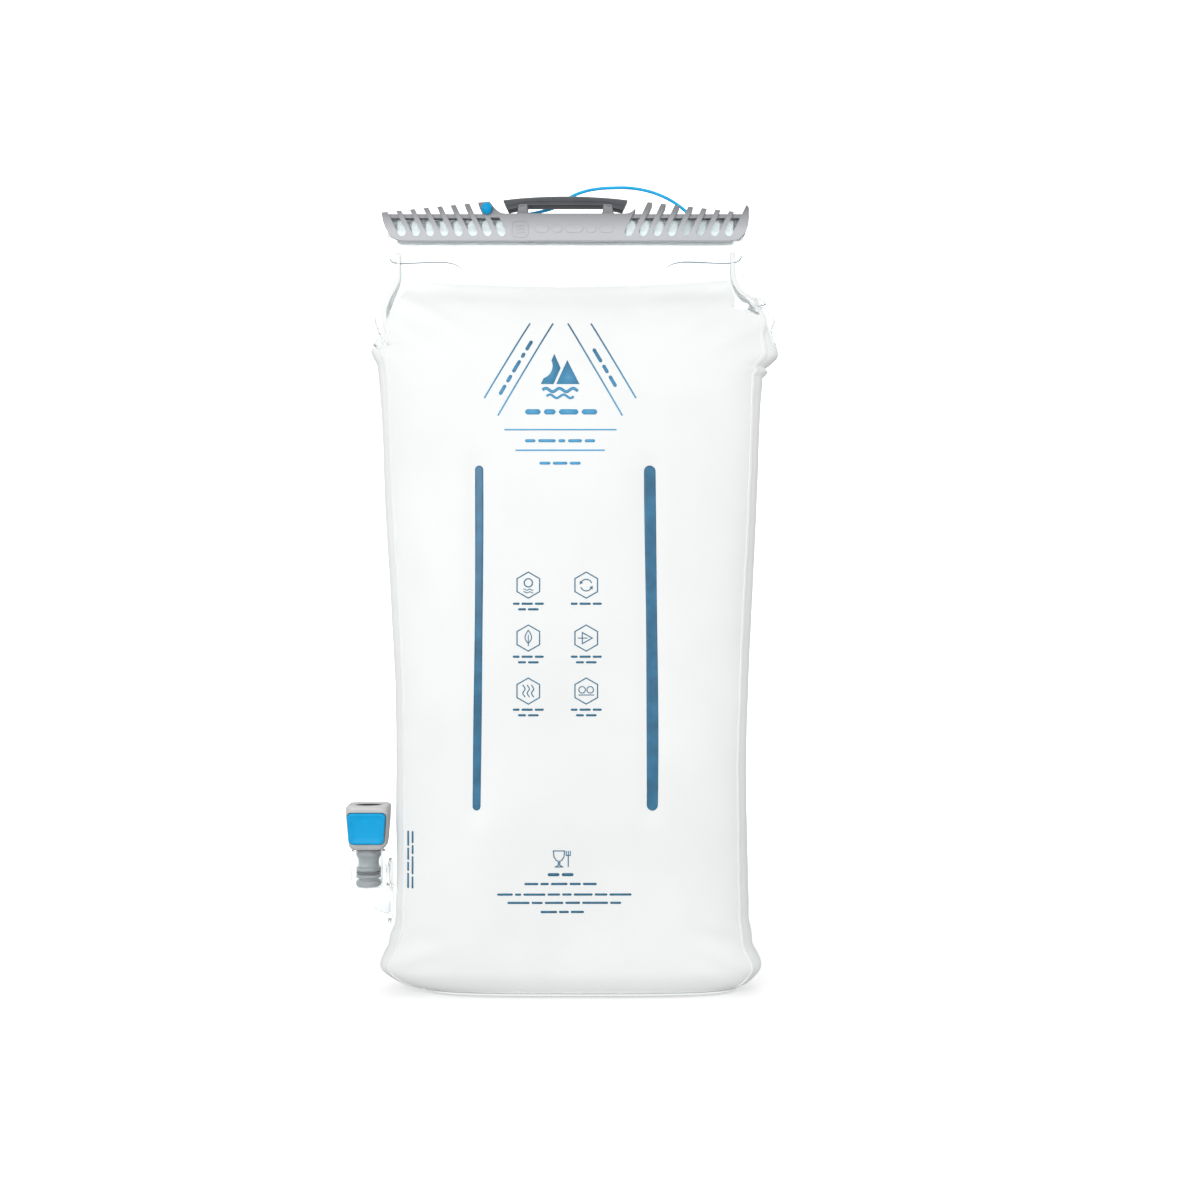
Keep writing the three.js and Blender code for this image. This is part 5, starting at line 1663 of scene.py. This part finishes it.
class BLADDER_OT_camera(bpy.types.Operator):
    """Adds the camera"""

    bl_idname = "bladder.camera"
    bl_label = "Camera"

    def execute(self, context):
        lens = bpy.data.cameras.new("camera")
        lens.lens = 54
        lens.sensor_width = 36
        camera = bpy.data.objects.new("camera", lens)
        camera.location = (0.01725, -0.9, 0.1937)
        camera.rotation_euler = (math.pi / 2, 0, 0)
        context.scene.collection.objects.link(camera)
        context.scene.camera = camera
        return {"FINISHED"}


class BLADDER_OT_stage(bpy.types.Operator):
    """Adds a round pale floor whose rim curves up into a wall, and soft lights"""

    bl_idname = "bladder.stage"
    bl_label = "Stage"

    def execute(self, context):
        floor, bend, wall = 1300, 800, 2600
        profile = [(10, 0), (300, 0), (700, 0), (floor, 0)]
        profile += [(floor + bend * math.sin(a), bend * (1 - math.cos(a)))
                    for a in (i * math.pi / 24 for i in range(1, 13))]
        profile += [(floor + bend, wall)]
        sides = 72
        points = [Vector((r * math.cos(a), r * math.sin(a), z - 0.02))
                  for r, z in profile for a in (2 * math.pi * i / sides for i in range(sides))]
        sweep = add_mesh("studio_sweep", points,
                         [*loft_faces(len(profile), sides, True), tuple(range(sides))], stage_paint())
        sweep.visible_diffuse = sweep.visible_glossy = sweep.visible_shadow = False
        for lamp in LIGHTS:
            area_light(*lamp)
        world = bpy.data.worlds.new("surround")
        world.use_nodes = True
        background = world.node_tree.nodes["Background"]
        background.inputs["Color"].default_value = (1, 1, 1, 1)
        background.inputs["Strength"].default_value = 0.5
        context.scene.world = world
        context.scene.view_settings.view_transform = "Standard"
        return {"FINISHED"}


# ---------------------------------------------------------------------------------------------
# Panel and registration
# ---------------------------------------------------------------------------------------------

OPERATORS = (
    BLADDER_OT_camera,
    BLADDER_OT_leash_cord,
    BLADDER_OT_film,
    BLADDER_OT_seams,
    BLADDER_OT_baffle,
    BLADDER_OT_print,
    BLADDER_OT_rails,
    BLADDER_OT_clip,
    BLADDER_OT_handle,
    BLADDER_OT_leash_ends,
    BLADDER_OT_elbow,
    BLADDER_OT_stem,
    BLADDER_OT_housing,
    BLADDER_OT_button,
    BLADDER_OT_valve,
    BLADDER_OT_stage,
)


class BLADDER_PT_pieces(bpy.types.Panel):
    """Lists the settings and the pieces"""

    bl_idname = "BLADDER_PT_pieces"
    bl_label = "Hydration Bladder"
    bl_space_type = "VIEW_3D"
    bl_region_type = "UI"
    bl_category = "Bladder"

    def draw(self, context):
        column = self.layout.column(align=True)
        for name in BladderSettings.__annotations__:
            column.prop(context.scene.bladder_settings, name)
        for operator in OPERATORS:
            column.operator(operator.bl_idname)


CLASSES = (BladderSettings, *OPERATORS, BLADDER_PT_pieces)


def register():
    for each in CLASSES:
        bpy.utils.register_class(each)
    bpy.types.Scene.bladder_settings = PointerProperty(type=BladderSettings)


def unregister():
    del bpy.types.Scene.bladder_settings
    for each in reversed(CLASSES):
        bpy.utils.unregister_class(each)


def main():
    register()
    for operator in OPERATORS:
        group, name = operator.bl_idname.split(".")
        getattr(getattr(bpy.ops, group), name)()


if __name__ == "__main__":
    main()
